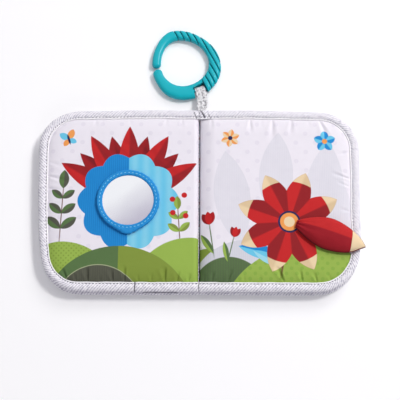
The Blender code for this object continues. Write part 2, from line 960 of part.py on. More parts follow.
def ring():
    """A flattened ring, open at its mouth, with a notch whose bar carries the ribbon."""
    half_mouth = RING_MOUTH / 2 / (RING_BORE_RADIUS * MOUTH_RADIUS_SHARE)
    start = RING_MOUTH_ANGLE - math.tau + half_mouth
    end = RING_MOUTH_ANGLE - half_mouth
    shares = [*RING_END_SHARES, *([1.0] * (RING_STEPS - 3)), *RING_END_SHARES[::-1]]
    points = []
    for s, size in enumerate(shares):
        angle = start + (end - start) * s / (len(shares) - 1)
        inner = RING_BORE_RADIUS * along_table(RING_INNER_SHARES, math.degrees(angle))
        outer = RING_BORE_RADIUS * along_table(RING_OUTER_SHARES, math.degrees(angle))
        middle, half = (inner + outer) / 2, (outer - inner) / 2
        for k in range(RING_SIDES):
            turn = math.tau * (k + 0.5) / RING_SIDES
            across = math.copysign(
                abs(math.cos(turn)) ** RING_FULLNESS_SHARE, math.cos(turn)
            )
            up = math.copysign(
                abs(math.sin(turn)) ** RING_FULLNESS_SHARE, math.sin(turn)
            )
            radius = middle + half * across * size / RING_WIDEST_SHARE
            points.append(
                (
                    RING_X + radius * math.cos(angle),
                    RING_Y + radius * math.sin(angle),
                    RING_THICK / 2 * (1.0 + up * size / RING_WIDEST_SHARE),
                )
            )
    faces = [
        tuple(range(RING_SIDES)),
        tuple(range(len(points) - RING_SIDES, len(points))),
    ]
    for s in range(len(shares) - 1):
        faces += band_faces(s * RING_SIDES, (s + 1) * RING_SIDES, RING_SIDES)
    body = add_piece("c_ring", points, faces, RING_LOOK, ring_hinge)
    notch, bar = notch_cutter(), notch_bar()
    for guide, operation in ((notch, "DIFFERENCE"), (bar, "UNION")):
        guide.hide_render = True
        guide.display_type = "WIRE"
        change = body.modifiers.new(guide.name, "BOOLEAN")
        change.operation = operation
        change.object = guide
    return body


def notch_place(out, along, height):
    """A place in the notch: out from the ring's middle, along its bar, and up."""
    cos, sin = math.cos(NOTCH_ANGLE), math.sin(NOTCH_ANGLE)
    return (
        RING_X + out * cos - along * sin,
        RING_Y + out * sin + along * cos,
        height,
    )


def notch_cutter():
    near = RING_BORE_RADIUS + NOTCH_INSET
    far = 2 * RING_BORE_RADIUS
    half = NOTCH_WIDTH / 2
    points = [
        notch_place(out, along - (out - near) * math.tan(lean), height)
        for out in (near, far)
        for along, lean in ((-half, NOTCH_LEFT_LEAN), (half, NOTCH_RIGHT_LEAN))
        for height in (-CUT_OVERRUN, RING_THICK + CUT_OVERRUN)
    ]
    faces = [
        (0, 1, 3, 2),
        (4, 6, 7, 5),
        (0, 4, 5, 1),
        (2, 3, 7, 6),
        (0, 2, 6, 4),
        (1, 5, 7, 3),
    ]
    return add_piece("notch_cutter", points, faces, RING_LOOK, ring_hinge)


def notch_bar():
    half = NOTCH_WIDTH / 2 + CUT_OVERRUN
    cos, sin = math.cos(BAR_TURN), math.sin(BAR_TURN)
    points = []
    for along in (-half, half):
        for k in range(BAR_SIDES):
            turn = math.tau * k / BAR_SIDES
            off = BAR_RADIUS * math.cos(turn)
            height = RING_THICK / 2 + BAR_RADIUS * math.sin(turn)
            out = bar_reach + off * cos - along * sin
            points.append(notch_place(out, along * cos + off * sin, height))
    faces = [tuple(range(BAR_SIDES)), tuple(range(BAR_SIDES, 2 * BAR_SIDES))]
    faces += band_faces(0, BAR_SIDES, BAR_SIDES)
    return add_piece("notch_bar", points, faces, RING_LOOK, ring_hinge)


ring()


# Ribbon loop

RIBBON_RUN_STEPS = 8
RIBBON_TURN_STEPS = 8
RIBBON_ROOT_WAY = Vector((0.4, 0.9, -0.3))  # the way it leaves the spine
RIBBON_EYE_WAY = Vector((-0.30, 0.94, -0.2))  # the way it reaches the ring's bar


def ribbon_loop():
    """A ribbon folded round the ring's bar. Its two layers meet at the spine."""
    root = world_place(loop_hinge)
    eye = world_place(ring_hinge)
    length = (eye - root).length
    out_root, out_eye = RIBBON_ROOT_WAY.normalized(), RIBBON_EYE_WAY.normalized()
    wide_root = Vector((1.0, 0.0, 0.0))
    bar_angle = NOTCH_ANGLE + BAR_TURN
    wide_eye = Vector((-math.sin(bar_angle), math.cos(bar_angle), 0.0))

    def frame(distance):
        """The place, the direction, the width direction and the normal at a distance from the root."""
        share = min(distance / length, 1.0)
        s2, s3 = share**2, share**3
        place = (
            root * (2 * s3 - 3 * s2 + 1)
            + out_root * length * (s3 - 2 * s2 + share)
            + eye * (3 * s2 - 2 * s3)
            + out_eye * length * (s3 - s2)
        )
        forward = (
            root * (6 * s2 - 6 * share)
            + out_root * length * (3 * s2 - 4 * share + 1)
            + eye * (6 * share - 6 * s2)
            + out_eye * length * (3 * s2 - 2 * share)
        ).normalized()
        wide = wide_root.lerp(wide_eye, share).normalized()
        normal = wide.cross(forward).normalized()
        return place, forward, wide, normal

    layer_offset = RIBBON_THICK / 2 + GAP / 2
    eye_radius = BAR_RADIUS + GAP + RIBBON_THICK / 2
    track = []
    run = [length * i / RIBBON_RUN_STEPS for i in range(RIBBON_RUN_STEPS)]
    for distance in run:
        part = min(max((distance - length + RIBBON_EYE_LENGTH) / RIBBON_EYE_LENGTH, 0.0), 1.0)
        smooth = part * part * (3.0 - 2.0 * part)
        track.append((distance, layer_offset + (eye_radius - layer_offset) * smooth))
    turn = [
        (
            length + eye_radius * math.sin(math.pi * i / RIBBON_TURN_STEPS),
            eye_radius * math.cos(math.pi * i / RIBBON_TURN_STEPS),
        )
        for i in range(RIBBON_TURN_STEPS + 1)
    ]
    track = track + turn + [(distance, -offset) for distance, offset in reversed(track)]
    points = []
    for i, (distance, offset) in enumerate(track):
        before, after = track[max(i - 1, 0)], track[min(i + 1, len(track) - 1)]
        step = Vector((after[0] - before[0], after[1] - before[1])).normalized()
        side = Vector((-step.y, step.x)) * (RIBBON_THICK / 2)
        part = min(max(distance, 0.0) / RIBBON_PINCH_LENGTH, 1.0)
        smooth = part * part * (3.0 - 2.0 * part)
        half = (RIBBON_PINCH + (RIBBON_WIDTH - RIBBON_PINCH) * smooth) / 2
        for sign, wing in ((1, -1), (1, 1), (-1, 1), (-1, -1)):
            along, lift = distance + sign * side.x, offset + sign * side.y
            place, forward, wide, normal = frame(min(max(along, 0.0), length))
            past = max(along - length, 0.0) + min(along, 0.0)
            points.append(place + forward * past + normal * lift + wide * (wing * half))
    faces = [(0, 1, 2, 3), tuple(range(len(points) - 4, len(points)))]
    for s in range(len(track) - 1):
        faces += band_faces(s * 4, (s + 1) * 4, 4)
    add_piece("ribbon_loop", points, faces, RIBBON_LOOK, loop_hinge)


ribbon_loop()
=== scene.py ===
"""Looks for the crinkle cloth book: cloth, tape, mirror, flap, ribbon, ring, light and camera.

Metres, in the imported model's frame: +X across the open book, +Y towards the ring, +Z up. A leaf's
own coordinates are u, the distance from the gutter line, and v, along it, which is Y."""

import functools
import json
import math

import bpy
import numpy as np
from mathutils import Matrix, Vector


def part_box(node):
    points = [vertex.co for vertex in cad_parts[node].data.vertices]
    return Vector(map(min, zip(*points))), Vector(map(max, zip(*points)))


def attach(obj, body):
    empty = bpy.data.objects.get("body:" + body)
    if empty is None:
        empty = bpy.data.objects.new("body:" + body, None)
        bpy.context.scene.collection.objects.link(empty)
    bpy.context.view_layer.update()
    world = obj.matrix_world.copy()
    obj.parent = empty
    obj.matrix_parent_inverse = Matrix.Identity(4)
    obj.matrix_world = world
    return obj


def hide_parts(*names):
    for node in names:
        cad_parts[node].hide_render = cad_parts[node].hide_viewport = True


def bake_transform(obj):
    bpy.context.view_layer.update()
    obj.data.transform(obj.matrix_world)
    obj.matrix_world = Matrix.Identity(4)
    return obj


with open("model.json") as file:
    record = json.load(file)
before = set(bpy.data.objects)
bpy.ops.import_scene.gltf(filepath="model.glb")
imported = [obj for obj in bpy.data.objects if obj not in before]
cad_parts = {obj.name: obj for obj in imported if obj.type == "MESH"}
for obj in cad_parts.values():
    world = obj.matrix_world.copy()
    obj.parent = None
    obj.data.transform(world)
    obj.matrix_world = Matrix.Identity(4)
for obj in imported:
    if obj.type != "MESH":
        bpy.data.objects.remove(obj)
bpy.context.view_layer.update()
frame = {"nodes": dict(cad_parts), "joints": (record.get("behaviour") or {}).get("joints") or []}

MM = 0.001


# Sizes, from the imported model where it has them


def joint_place(name):
    found = next(j for j in frame["joints"] if j["name"] == name)
    return Vector(found["pos_m"])


def middle_of(node, axis):
    low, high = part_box(node)
    return (low[axis] + high[axis]) / 2


GUTTER = joint_place("front_cover_turn")
LEAF_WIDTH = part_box("right_page_binding")[1].x
HALF_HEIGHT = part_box("right_page_binding")[1].y
PAGE_MIDDLE = middle_of("right_page_binding", 2)
COVER_MIDDLE = middle_of("back_cover_binding", 2)
PAGE_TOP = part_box("right_page_face")[1].z
LEAF_HALF = PAGE_TOP - PAGE_MIDDLE
CORNER_RADIUS = 36.0 * MM
CLOTH_THICK = 0.6 * MM
CLOTH_EDGE = 2.6 * MM  # from the leaf's edge to its cloth's own edge, inside the tape
EDGE_HALF = 1.1 * MM  # half thickness of a leaf where the tape holds it
RISE_START = 9.0 * MM  # from the leaf's edge to where its cloth comes out of the tape
FACE_REACH, HIDDEN_REACH, INNER_REACH = 17 * MM, 15 * MM, 20 * MM  # over which it rises
PAGE_INNER, COVER_INNER = 3.4 * MM, 5.0 * MM
INNER_HALF = 2.5 * MM
SPINE_HALF = 9.0 * MM
GRID_STEP, FACE_STEP = 2.0 * MM, 0.75 * MM

# Side of the gutter, height of the middle, where the tape starts, and a phase for its swells
LEAVES = {
    "left_page": (-1, PAGE_MIDDLE, 0.25 * MM, 0.4),
    "right_page": (1, PAGE_MIDDLE, 0.25 * MM, 1.9),
    "front_cover": (-1, COVER_MIDDLE, SPINE_HALF, 3.3),
    "back_cover": (1, COVER_MIDDLE, SPINE_HALF, 4.8),
}

MIRROR_X, MIRROR_Y = middle_of("mirror_film", 0), middle_of("mirror_film", 1)
FLAP_ROOT = joint_place("flap_lift")
FLAP_TURN = math.radians(-19.3)
RIM_INNER, RIM_OUTER = 23.9 * MM, 29.4 * MM

RING_X, RING_Y = -14.1 * MM, 142.6 * MM
RING_BORE = 24.3 * MM
RING_THICK = 8.0 * MM
RIB_ANGLE = math.radians(28.0)
RIB_FIRST, RIB_STEP, RIB_COUNT = 6.47 * MM, 5.1 * MM, 6


# Materials: a small node tree is written as sums of values


def rgb(*colour):
    """A colour from 0 to 255, as seen on a screen, in linear light."""
    shares = [c / 255 for c in colour]
    made = [c / 12.92 if c <= 0.04045 else ((c + 0.055) / 1.055) ** 2.4 for c in shares]
    return (*made, 1.0)


def operation(kind, swapped=False):
    def apply(value, other):
        return value.nodes.math(kind, *((other, value) if swapped else (value, other)))

    return apply


class Value:
    """A node's output, of which sums, products and so on make new nodes."""

    def __init__(self, nodes, socket):
        self.nodes, self.socket = nodes, socket

    __add__ = __radd__ = operation("ADD")
    __mul__ = __rmul__ = operation("MULTIPLY")
    __sub__, __rsub__ = operation("SUBTRACT"), operation("SUBTRACT", swapped=True)
    __truediv__, __pow__ = operation("DIVIDE"), operation("POWER")

    def __abs__(self):
        return self.nodes.math("ABSOLUTE", self)


class Nodes:
    """A node tree, with short ways to add to it."""

    def __init__(self, tree):
        self.tree = tree

    def put(self, socket, value):
        if isinstance(value, Value):
            self.tree.links.new(value.socket, socket)
        else:
            socket.default_value = value

    def node(self, kind, inputs=None, out=0, **settings):
        """One output of a new node. inputs and out are by name or number."""
        made = self.tree.nodes.new("ShaderNode" + kind)
        for name, value in settings.items():
            setattr(made, name, value)
        for place, value in (inputs or {}).items():
            self.put(made.inputs[place], value)
        return Value(self, made.outputs[out])

    def math(self, kind, *values):
        return self.node("Math", dict(enumerate(values)), operation=kind)

    def highest(self, a, b):
        return self.math("MAXIMUM", a, b)

    def far(self, x, y):
        return self.math("SQRT", x * x + y * y)

    def mix(self, share, a, b):
        return self.node("Mix", {0: share, 6: a, 7: b}, 2, data_type="RGBA")

    def ramp(self, value, low, high, start=0.0, end=1.0):
        return self.node("MapRange", dict(enumerate((value, low, high, start, end))))

    def ray(self, kind):
        """1 for rays of a kind."""
        return self.node("LightPath", out=f"Is {kind} Ray")

    def split(self, vector):
        made = self.node("SeparateXYZ", {0: vector}).socket.node
        return [Value(self, socket) for socket in made.outputs]

    def length(self, vector):
        return self.node("VectorMath", {0: vector}, "Value", operation="LENGTH")


THREAD = 0.55 * MM
WEAVE_DEPTH = 0.035  # in mm, as all depths of bumps


class Look(Nodes):
    """A material with a Principled shader."""

    def __init__(self, name):
        self.material = bpy.data.materials.new(name)
        self.material.use_nodes = True
        super().__init__(self.material.node_tree)
        self.coordinates = self.node("TexCoord", out="Object")

    def mapped(self, place, turn=0.0, size=(1, 1, 1)):
        """Coordinates round a place, turned and measured in a size."""
        inputs = {"Vector": self.coordinates, "Location": place, "Scale": size}
        inputs["Rotation"] = (0, 0, turn)
        return self.node("Mapping", inputs, vector_type="TEXTURE")

    def noise(self, scale, detail=3.0, vector=None, roughness=0.5):
        inputs = {"Vector": vector or self.coordinates, "Scale": scale, "Detail": detail}
        return self.node("TexNoise", {**inputs, "Roughness": roughness}, "Fac")

    def wave(self, period, direction="X", vector=None, distortion=0.0):
        """Bands that repeat after a period in metres."""
        inputs = {"Vector": vector or self.coordinates, "Distortion": distortion}
        inputs["Scale"] = math.tau / 20 / period
        return self.node("TexWave", inputs, "Fac", bands_direction=direction)

    def ribs(self, x, period, distortion):
        """Bands across x, which is a sum of coordinates."""
        return self.wave(period, "X", self.node("CombineXYZ", {0: x}), distortion)

    def weave(self):
        """A layer of crossing threads."""
        across, along = (self.wave(THREAD, way, None, 0.4) for way in "XY")
        return self.highest(across, along), WEAVE_DEPTH

    def finish(self, colour, roughness, *layers, **inputs):
        """The material with its inputs and its bumps. A layer is a height and its depth in mm."""
        shader = self.tree.nodes["Principled BSDF"]
        inputs = {"Base_Color": colour, "Roughness": roughness, **inputs}
        for height, depth in layers:
            bump = {"Strength": 1.0, "Distance": depth * MM, "Height": height}
            if "Normal" in inputs:
                bump["Normal"] = inputs["Normal"]
            inputs["Normal"] = self.node("Bump", bump)
        for name, value in inputs.items():
            self.put(shader.inputs[name.replace("_", " ")], value)
        return self.material


class Print:
    """Flat shapes printed over each other on a page, in millimetres of the open book."""

    SOFT = 0.22  # half width of a printed edge

    def __init__(self, look, ground):
        self.look, self.colour = look, ground

    def local(self, place, turn=0.0, size=(1.0, 1.0)):
        """Coordinates round a place in the open book, in shares of a size."""
        place = (place[0] * MM, place[1] * MM, PAGE_TOP)
        return self.look.mapped(place, math.radians(turn), (size[0] * MM, size[1] * MM, 1.0))

    def inside(self, distance, edge, soft=SOFT):
        """1 where a distance is under an edge."""
        return self.look.ramp(distance, edge + soft, edge - soft)

    def right_of(self, x):
        return self.look.ramp(x, -self.SOFT, self.SOFT)

    def ellipse(self, place, size, turn=0.0):
        distance = self.look.length(self.local(place, turn, size))
        return self.inside(distance, 1.0, self.SOFT / min(size))

    def box(self, place, size, turn=0.0):
        x, y, _ = self.look.split(self.local(place, turn, size))
        return self.inside(self.look.highest(abs(x), abs(y)), 1.0, self.SOFT / min(size))

    def petal(self, x, off, length, half):
        """A pointed shape along x, given the distance from its rib."""
        radius = (length**2 / 4 + half**2) / (2 * half)
        return self.inside(self.look.far(x - length / 2, off + (radius - half)), radius)

    def fan(self, centre, count, turn):
        """Folds the plane round a centre into one petal: along it, off its rib, side, distance."""
        x, y, _ = self.look.split(self.local(centre, turn))
        angle, out = self.look.math("ARCTAN2", y, x), self.look.far(x, y)
        folded = self.look.math("PINGPONG", angle, math.pi / count)
        along, off = (out * self.look.math(kind, folded) for kind in ("COSINE", "SINE"))
        return along, off, self.look.math("SINE", angle * float(count)), out

    def paint(self, mask, colour):
        self.colour = self.look.mix(mask, self.colour, colour)

    def two_tone(self, mask, side, dark, light):
        """A shape whose sides have two colours. side is positive on the light one."""
        self.paint(mask, dark)
        if light:
            self.paint(mask * self.right_of(side), light)

    def leaf(self, root, length, half, turn, dark, light=None):
        """A pointed leaf from its root, in one or two colours."""
        x, y, _ = self.look.split(self.local(root, turn))
        self.two_tone(self.petal(x, abs(y), length, half), y, dark, light)

    def dots(self, pitch, radius, colour, strength, mask=1.0):
        """Staggered dots inside a mask."""
        for shift in (0.0, 0.5):
            vector = self.local((shift * pitch,) * 2, 0.0, (pitch,) * 2)
            folded = self.look.node("VectorMath", {0: vector}, operation="FRACTION")
            x, y, _ = self.look.split(folded)
            distance = self.look.far(x - 0.5, y - 0.5)
            dot = self.inside(distance, radius / pitch, self.SOFT / pitch)
            self.paint(dot * mask * strength, colour)

    def stripes(self, mask, pitch, colour, strength, direction="X"):
        self.paint(self.look.wave(pitch * MM, direction) * mask * strength, colour)


WHITE = (1.0, 1.0, 1.0, 1.0)
WHITE_GROUND, BLUE_GROUND = rgb(238, 234, 242), rgb(150, 205, 228)
PALE_DOT, PALE_SHAPE = rgb(224, 219, 231), rgb(221, 220, 229)
DEEP_RED, DARK_RED = rgb(122, 22, 30), rgb(146, 28, 34)
MID_RED, LIGHT_RED = rgb(170, 28, 34), rgb(198, 36, 38)
DEEP_BLUE, DARK_BLUE = rgb(20, 116, 190), rgb(30, 140, 210)
LIGHT_BLUE, PALE_BLUE = rgb(108, 200, 232), rgb(156, 218, 236)
DEEP_GREEN, DARK_GREEN, MID_GREEN = rgb(82, 84, 72), rgb(88, 116, 70), rgb(130, 150, 62)
LIGHT_GREEN, PALE_GREEN = rgb(152, 182, 80), rgb(182, 190, 150)
DARK_CREAM, CREAM, ORANGE = rgb(222, 196, 156), rgb(236, 212, 172), rgb(240, 158, 84)
NAVY, BROWN = rgb(34, 38, 84), rgb(110, 66, 52)


def print_look(name, paint, ground=WHITE_GROUND, crumple=0.16):
    """Printed cloth. paint adds its shapes to a Print."""
    look = Look(name)
    page = Print(look, ground)
    if ground == WHITE_GROUND:
        page.dots(18.5, 2.2, PALE_DOT, 0.5)
    paint(page)
    layers = look.weave(), (look.noise(150.0), crumple)
    return look.finish(page.colour, 0.7, *layers, Specular_IOR_Level=0.22)


def away(place, turn, distance):
    """The place at a distance from another one, in a direction in degrees."""
    turn = math.radians(turn)
    return place[0] + math.cos(turn) * distance, place[1] + math.sin(turn) * distance


def sprig(page, root, turn, length, pairs, leaf, dark, light):
    """A stem with pairs of pointed leaves, and one at its end."""
    page.paint(page.box(away(root, turn, length / 2), (length / 2, 0.45), turn), BROWN)
    leaves = [
        (length * (i + 1) / (pairs + 1), leaf * (1.0 - 0.12 * i), 0.24, lean)
        for i in range(pairs)
        for lean in (-52.0, 52.0)
    ]
    for reach, size, plump, lean in (*leaves, (length * 0.92, leaf, 0.26, 0.0)):
        page.leaf(away(root, turn, reach), size, size * plump, turn + lean, dark, light)


def tulip(page, root, height, lean, size):
    """A stem with a three-pointed cup."""
    turn = 90.0 - lean
    page.paint(page.box(away(root, turn, height / 2), (height / 2, 0.5), turn), DARK_GREEN)
    page.leaf(root, height * 0.8, height * 0.11, turn + 24, DARK_GREEN, LIGHT_GREEN)
    for swing, colour in ((24.0, DARK_RED), (-24.0, MID_RED), (0.0, LIGHT_RED)):
        head = away(root, turn, height)
        page.leaf(head, size * 1.35, size * 0.34, turn + swing, colour)


def flutter(page, place, turn, size):
    """A plain butterfly: four wings and a body."""
    for lean, reach, half, colour in (
        (52.0, 1.0, 0.30, ORANGE),
        (128.0, 1.0, 0.30, LIGHT_BLUE),
        (-38.0, 0.72, 0.24, LIGHT_BLUE),
        (-142.0, 0.72, 0.24, ORANGE),
    ):
        page.leaf(place, size * reach, size * half, turn + lean, colour)
    page.paint(page.ellipse(place, (size * 0.10, size * 0.46), turn), NAVY)


def blossom(page, centre, count, turn, petal, colours, middle):
    """Pointed petals round a middle. colours are the petals' dark and light side."""
    along, off, side, _ = page.fan(centre, count, turn)
    mask = page.petal(along, off, petal, petal * math.sin(math.pi / count) * 0.62)
    page.two_tone(mask, side, *colours)
    page.paint(page.ellipse(centre, (petal * 0.24,) * 2), middle)


def paint_left(page):
    """A garden: a round flower behind the mirror, with red pointed petals fanned out above it."""
    look = page.look
    centre = (MIRROR_X / MM, MIRROR_Y / MM)
    # Red fan
    x, y, _ = look.split(page.local(centre))
    for turn, length, half, lowest, dark, light in (
        (105.0, 66.0, 9.0, 30.0, DEEP_RED, DARK_RED),
        (90.0, 74.0, 9.9, 15.0, DARK_RED, LIGHT_RED),
    ):
        along, off, side, _ = page.fan(centre, 12, turn)
        above = page.right_of(y - abs(x) * math.tan(math.radians(lowest)))
        mask = page.petal(along, off, length, half) * above
        page.two_tone(mask, side, dark, light)
        page.stripes(mask, 7.4, MID_RED, 0.4, "DIAGONAL")
    # Round blue flower
    x, y, _ = look.split(page.local(centre, 18.0))
    lobes = abs(look.math("SINE", look.math("ARCTAN2", y, x) * 5.0))
    out = look.length(page.local(centre))
    flower = page.inside(out - (lobes * 5.5 + 42.0), 0.0)
    page.paint(flower, DARK_BLUE)
    left, right = (flower * page.box((centre[0] + x, 0), (50.0, 90.0)) for x in (-50, 50))
    page.stripes(left, 1.9, DEEP_BLUE, 0.55)
    page.paint(right, LIGHT_BLUE)
    page.stripes(right, 11.0, PALE_BLUE, 0.45)
    # Leaves and berries at the sides
    sprig(page, (-129.0, -44.0), 88.0, 58.0, 3, 18.0, DEEP_GREEN, DARK_GREEN)
    sprig(page, (-17.0, -44.0), 94.0, 36.0, 2, 13.0, MID_GREEN, LIGHT_GREEN)
    for berry in ((-24.0, -14.0), (-12.0, -17.0), (-24.5, -1.0), (-13.5, 3.0)):
        page.paint(page.ellipse(berry, (2.6, 2.6)), LIGHT_RED)
    # Hills
    far = page.ellipse((-126.0, -108.0), (58.0, 66.0))
    page.paint(far, LIGHT_GREEN)
    page.dots(4.6, 0.75, MID_GREEN, 0.8, far)
    page.paint(page.ellipse((-8.0, -112.0), (62.0, 74.0)), LIGHT_GREEN)
    middle = page.ellipse((-74.0, -124.0), (74.0, 78.0))
    x, _, _ = look.split(page.local((-74.0, 0.0)))
    page.two_tone(middle, x, DARK_GREEN, MID_GREEN)
    page.paint(page.ellipse((-92.0, -132.0), (50.6, 68.6)), PALE_GREEN)
    mound = page.ellipse((-92.0, -132.0), (50.0, 68.0))
    page.paint(mound, DEEP_GREEN)
    page.stripes(mound, 2.1, rgb(96, 98, 80), 0.4)
    flutter(page, (-124.0, 58.0), 18.0, 11.0)


def paint_right(page):
    """A garden: a large red flower, of which the stuffed flap is one petal."""
    look = page.look
    # Pale leaves far away
    for root, length, half, turn in (
        ((112.0, -52.0), 110.0, 19.0, 84.0),
        ((38.0, -44.0), 92.0, 17.0, 98.0),
        ((138.0, -56.0), 96.0, 15.0, 101.0),
        ((70.0, -20.0), 86.0, 16.0, 86.0),
    ):
        x, y, _ = look.split(page.local(root, turn))
        mask = page.petal(x, abs(y), length, half)
        page.paint(mask * 0.8, PALE_SHAPE)
        page.stripes(mask, 1.7, WHITE_GROUND, 0.25)
    # Hills and a road
    page.paint(page.ellipse((6.0, -114.0), (44.0, 66.0)), MID_GREEN)
    road = page.ellipse((44.0, -128.0), (66.0, 88.0))
    page.paint(road, rgb(216, 216, 225))
    page.stripes(road, 1.7, rgb(204, 204, 214), 0.5)
    dark = page.ellipse((28.0, -138.0), (52.0, 82.0))
    page.paint(dark, DARK_GREEN)
    page.stripes(dark, 1.5, DEEP_GREEN, 0.5)
    big = page.ellipse((104.0, -128.0), (88.0, 84.0))
    page.paint(big, LIGHT_GREEN)
    page.dots(9.5, 1.7, rgb(134, 172, 70), 0.7, big)
    # Stem and blue leaves
    page.paint(page.box((80.0, -46.0), (0.9, 26.0), -8.0), BROWN)
    page.leaf((78.0, -56.0), 42.0, 6.4, 166.0, DARK_BLUE, LIGHT_BLUE)
    page.leaf((77.0, -64.0), 30.0, 4.6, 152.0, LIGHT_BLUE, PALE_BLUE)
    # Red flower, whose ring of petals leaves room for the stuffed one
    centre = (84.5, -22.4)
    along, off, side, out = page.fan(centre, 8, math.degrees(FLAP_TURN))
    petals = page.petal(along, off, 50.0, 11.8)
    page.two_tone(petals, side, DARK_RED, LIGHT_RED)
    page.two_tone(petals * look.ramp(out, 39.0, 39.5), side, DARK_CREAM, CREAM)
    for radius, colour in ((10.5, NAVY), (8.6, ORANGE), (5.0, CREAM)):
        page.paint(page.ellipse(centre, (radius, radius)), colour)
    blossom(page, (120.0, 57.0), 5, 90.0, 10.5, (DARK_BLUE, LIGHT_BLUE), ORANGE)
    blossom(page, (30.0, 60.0), 6, 20.0, 9.0, (ORANGE, CREAM), NAVY)
    tulip(page, (14.0, -53.0), 28.0, -8.0, 9.5)
    tulip(page, (27.0, -60.5), 24.0, 14.0, 7.5)


def paint_plain(page):
    """Staggered coloured dots, for the sides that the photograph doesn't show."""
    page.dots(26.0, 4.2, PALE_BLUE, 0.9)
    page.dots(39.0, 2.6, ORANGE, 0.8)


def paint_cover(page):
    page.dots(22.0, 4.6, rgb(236, 240, 246), 0.9)
    page.dots(22.0, 1.7, LIGHT_RED, 0.9)


def tape_look():
    """White twill, whose ribs run slantwise along the tape, and its rolled inner edge.

    Its coordinates lie in the mesh: along the tape, across it, and a mark of painted light that is
    1 on the roll, which is painted whiter as a painted highlight, and -1 in a crease, which is
    painted dark as painted shade."""
    look = Look("twill_tape")
    place = look.node("Attribute", out="Vector", attribute_name="tape")
    along, inset, painted_light_mark = look.split(place)
    ribs = look.ribs(along - inset, 2.9 * MM, 0.5)
    threads = look.wave(THREAD, "X", place, 1.0)
    roll_painted_highlight, crease = look.highest(painted_light_mark, 0.0), look.highest(painted_light_mark * -0.9, 0.0)
    tone = look.ramp(ribs * 0.8 + look.noise(430.0, 2.0) * 2.0, 0.8, 1.65)
    colour = look.mix(tone, rgb(192, 189, 203), rgb(250, 248, 253))
    # Painted highlight: the rolled edge is painted whiter than the rest of the tape
    colour = look.mix(roll_painted_highlight, colour, rgb(254, 253, 255))
    # Painted shade: creases and joins are painted dark grey
    colour = look.mix(crease, colour, rgb(70, 66, 78))
    layers = (ribs * (1.0 - roll_painted_highlight), 0.09), (threads, 0.05), (look.noise(700.0), 0.15)
    return look.finish(colour, 0.85, *layers, Specular_IOR_Level=0.2)


def ribbon_look():
    """Silvery herringbone ribbon, crumpled. Its coordinates lie in the mesh."""
    look = Look("silver_ribbon")
    place = look.node("Attribute", out="Vector", attribute_name="tape")
    x, y, _ = look.split(place)
    ribs = look.ribs(x + look.math("PINGPONG", y, 2.5 * MM), 1.5 * MM, 0.8)
    # Dark grey specks at random, where the noise is low
    dark_specks = look.ramp(look.noise(420.0, 4.0, place, 0.65), 0.36, 0.54, 0.1)
    tone = look.ramp(ribs, 0.0, 1.0, 0.7) * dark_specks
    colour = look.mix(tone, rgb(104, 103, 111), rgb(250, 249, 251))
    return look.finish(colour, 0.5, (ribs, 0.16), (look.noise(330.0, 4.0, place), 0.6))


def ring_look():
    """Moulded plastic, painted darker at the bottom of its grooves as painted shade."""
    look = Look("teal_plastic")
    x, _, _ = look.split(look.mapped((RING_X, RING_Y, 0.0), RIB_ANGLE))
    off = abs(look.math("FRACT", (x - (RIB_FIRST - RIB_STEP / 2)) / RIB_STEP) - 0.5)
    ribbed = look.ramp(x, RIB_FIRST - 1.2 * MM, RIB_FIRST - 1.1 * MM)
    last = RIB_FIRST + (RIB_COUNT - 1) * RIB_STEP
    ribbed = ribbed * look.ramp(x, last + 1.2 * MM, last + 1.1 * MM)
    out = look.length(look.mapped((RING_X, RING_Y, RING_THICK / 2), 0.0, (1, 1, 0.5)))
    outward = look.ramp(out, RING_BORE + 0.6 * MM, RING_BORE + 1.4 * MM)
    groove = look.ramp(off, 0.10, 0.05) * ribbed * outward
    plain = look.mix(look.noise(35.0, 2.0), rgb(0, 172, 186), rgb(0, 184, 197))
    # Painted shade: the bottoms of the grooves are painted dark teal
    colour = look.mix(groove * 0.92, plain, rgb(6, 70, 90))
    # Between the grooves the plastic is slightly rounded
    rounded = look.highest(1.0 - look.ramp(off, 0.5, 0.0) ** 2.0, 1.0 - ribbed)
    roughness = look.ramp(look.noise(300.0), 0.3, 0.7, 0.28, 0.36)
    layers = (rounded, 0.7), (look.noise(900.0, 2.0), 0.01)
    return look.finish(colour, roughness, *layers, Specular_IOR_Level=0.35)


def mirror_look():
    """Flexible mirror film, which bulges a little."""
    look = Look("mirror_film")
    size = (RIM_INNER, RIM_INNER, 1.0)
    out = look.length(look.mapped((MIRROR_X, MIRROR_Y, PAGE_TOP), 0.0, size))
    roughness = look.ramp(look.noise(90.0, 2.0), 0.3, 0.7, 0.06, 0.1)
    layers = (1.0 - out * out, 0.9), (look.noise(40.0, 1.0), 0.25)
    return look.finish(rgb(240, 241, 246), roughness, *layers, Metallic=1.0)


def red_look():
    """Red cloth, lighter above the flap's ridge than below it."""
    look = Look("red_cloth")
    _, y, _ = look.split(look.mapped(tuple(FLAP_ROOT), FLAP_TURN))
    tone = look.noise(70.0, 4.0)
    dark = look.mix(tone, rgb(146, 24, 36), rgb(162, 32, 42))
    light = look.mix(tone, rgb(184, 36, 40), rgb(200, 46, 46))
    colour = look.mix(look.ramp(y, 1.3 * MM, 2.3 * MM), dark, light)
    layers = look.weave(), (look.noise(160.0, 4.0), 0.3)
    return look.finish(colour, 0.8, *layers, Specular_IOR_Level=0.2)


def cloth_look(name, colour, roughness=0.7):
    """Woven cloth or thread in one colour that varies a little."""
    look = Look(name)
    dark, light = ([min(1.0, c * by) for c in colour[:3]] + [1.0] for by in (0.94, 1.06))
    layers = look.weave(), (look.noise(220.0, 4.0), 0.12)
    colour = look.mix(look.noise(60.0, 4.0), dark, light)
    return look.finish(colour, roughness, *layers, Specular_IOR_Level=0.25)


def stuffing_look(name, dark, light, roughness, tone, crumple, depth):
    look = Look(name)
    colour = look.mix(look.noise(*tone), dark, light)
    return look.finish(colour, roughness, (look.noise(crumple, 5.0), depth))


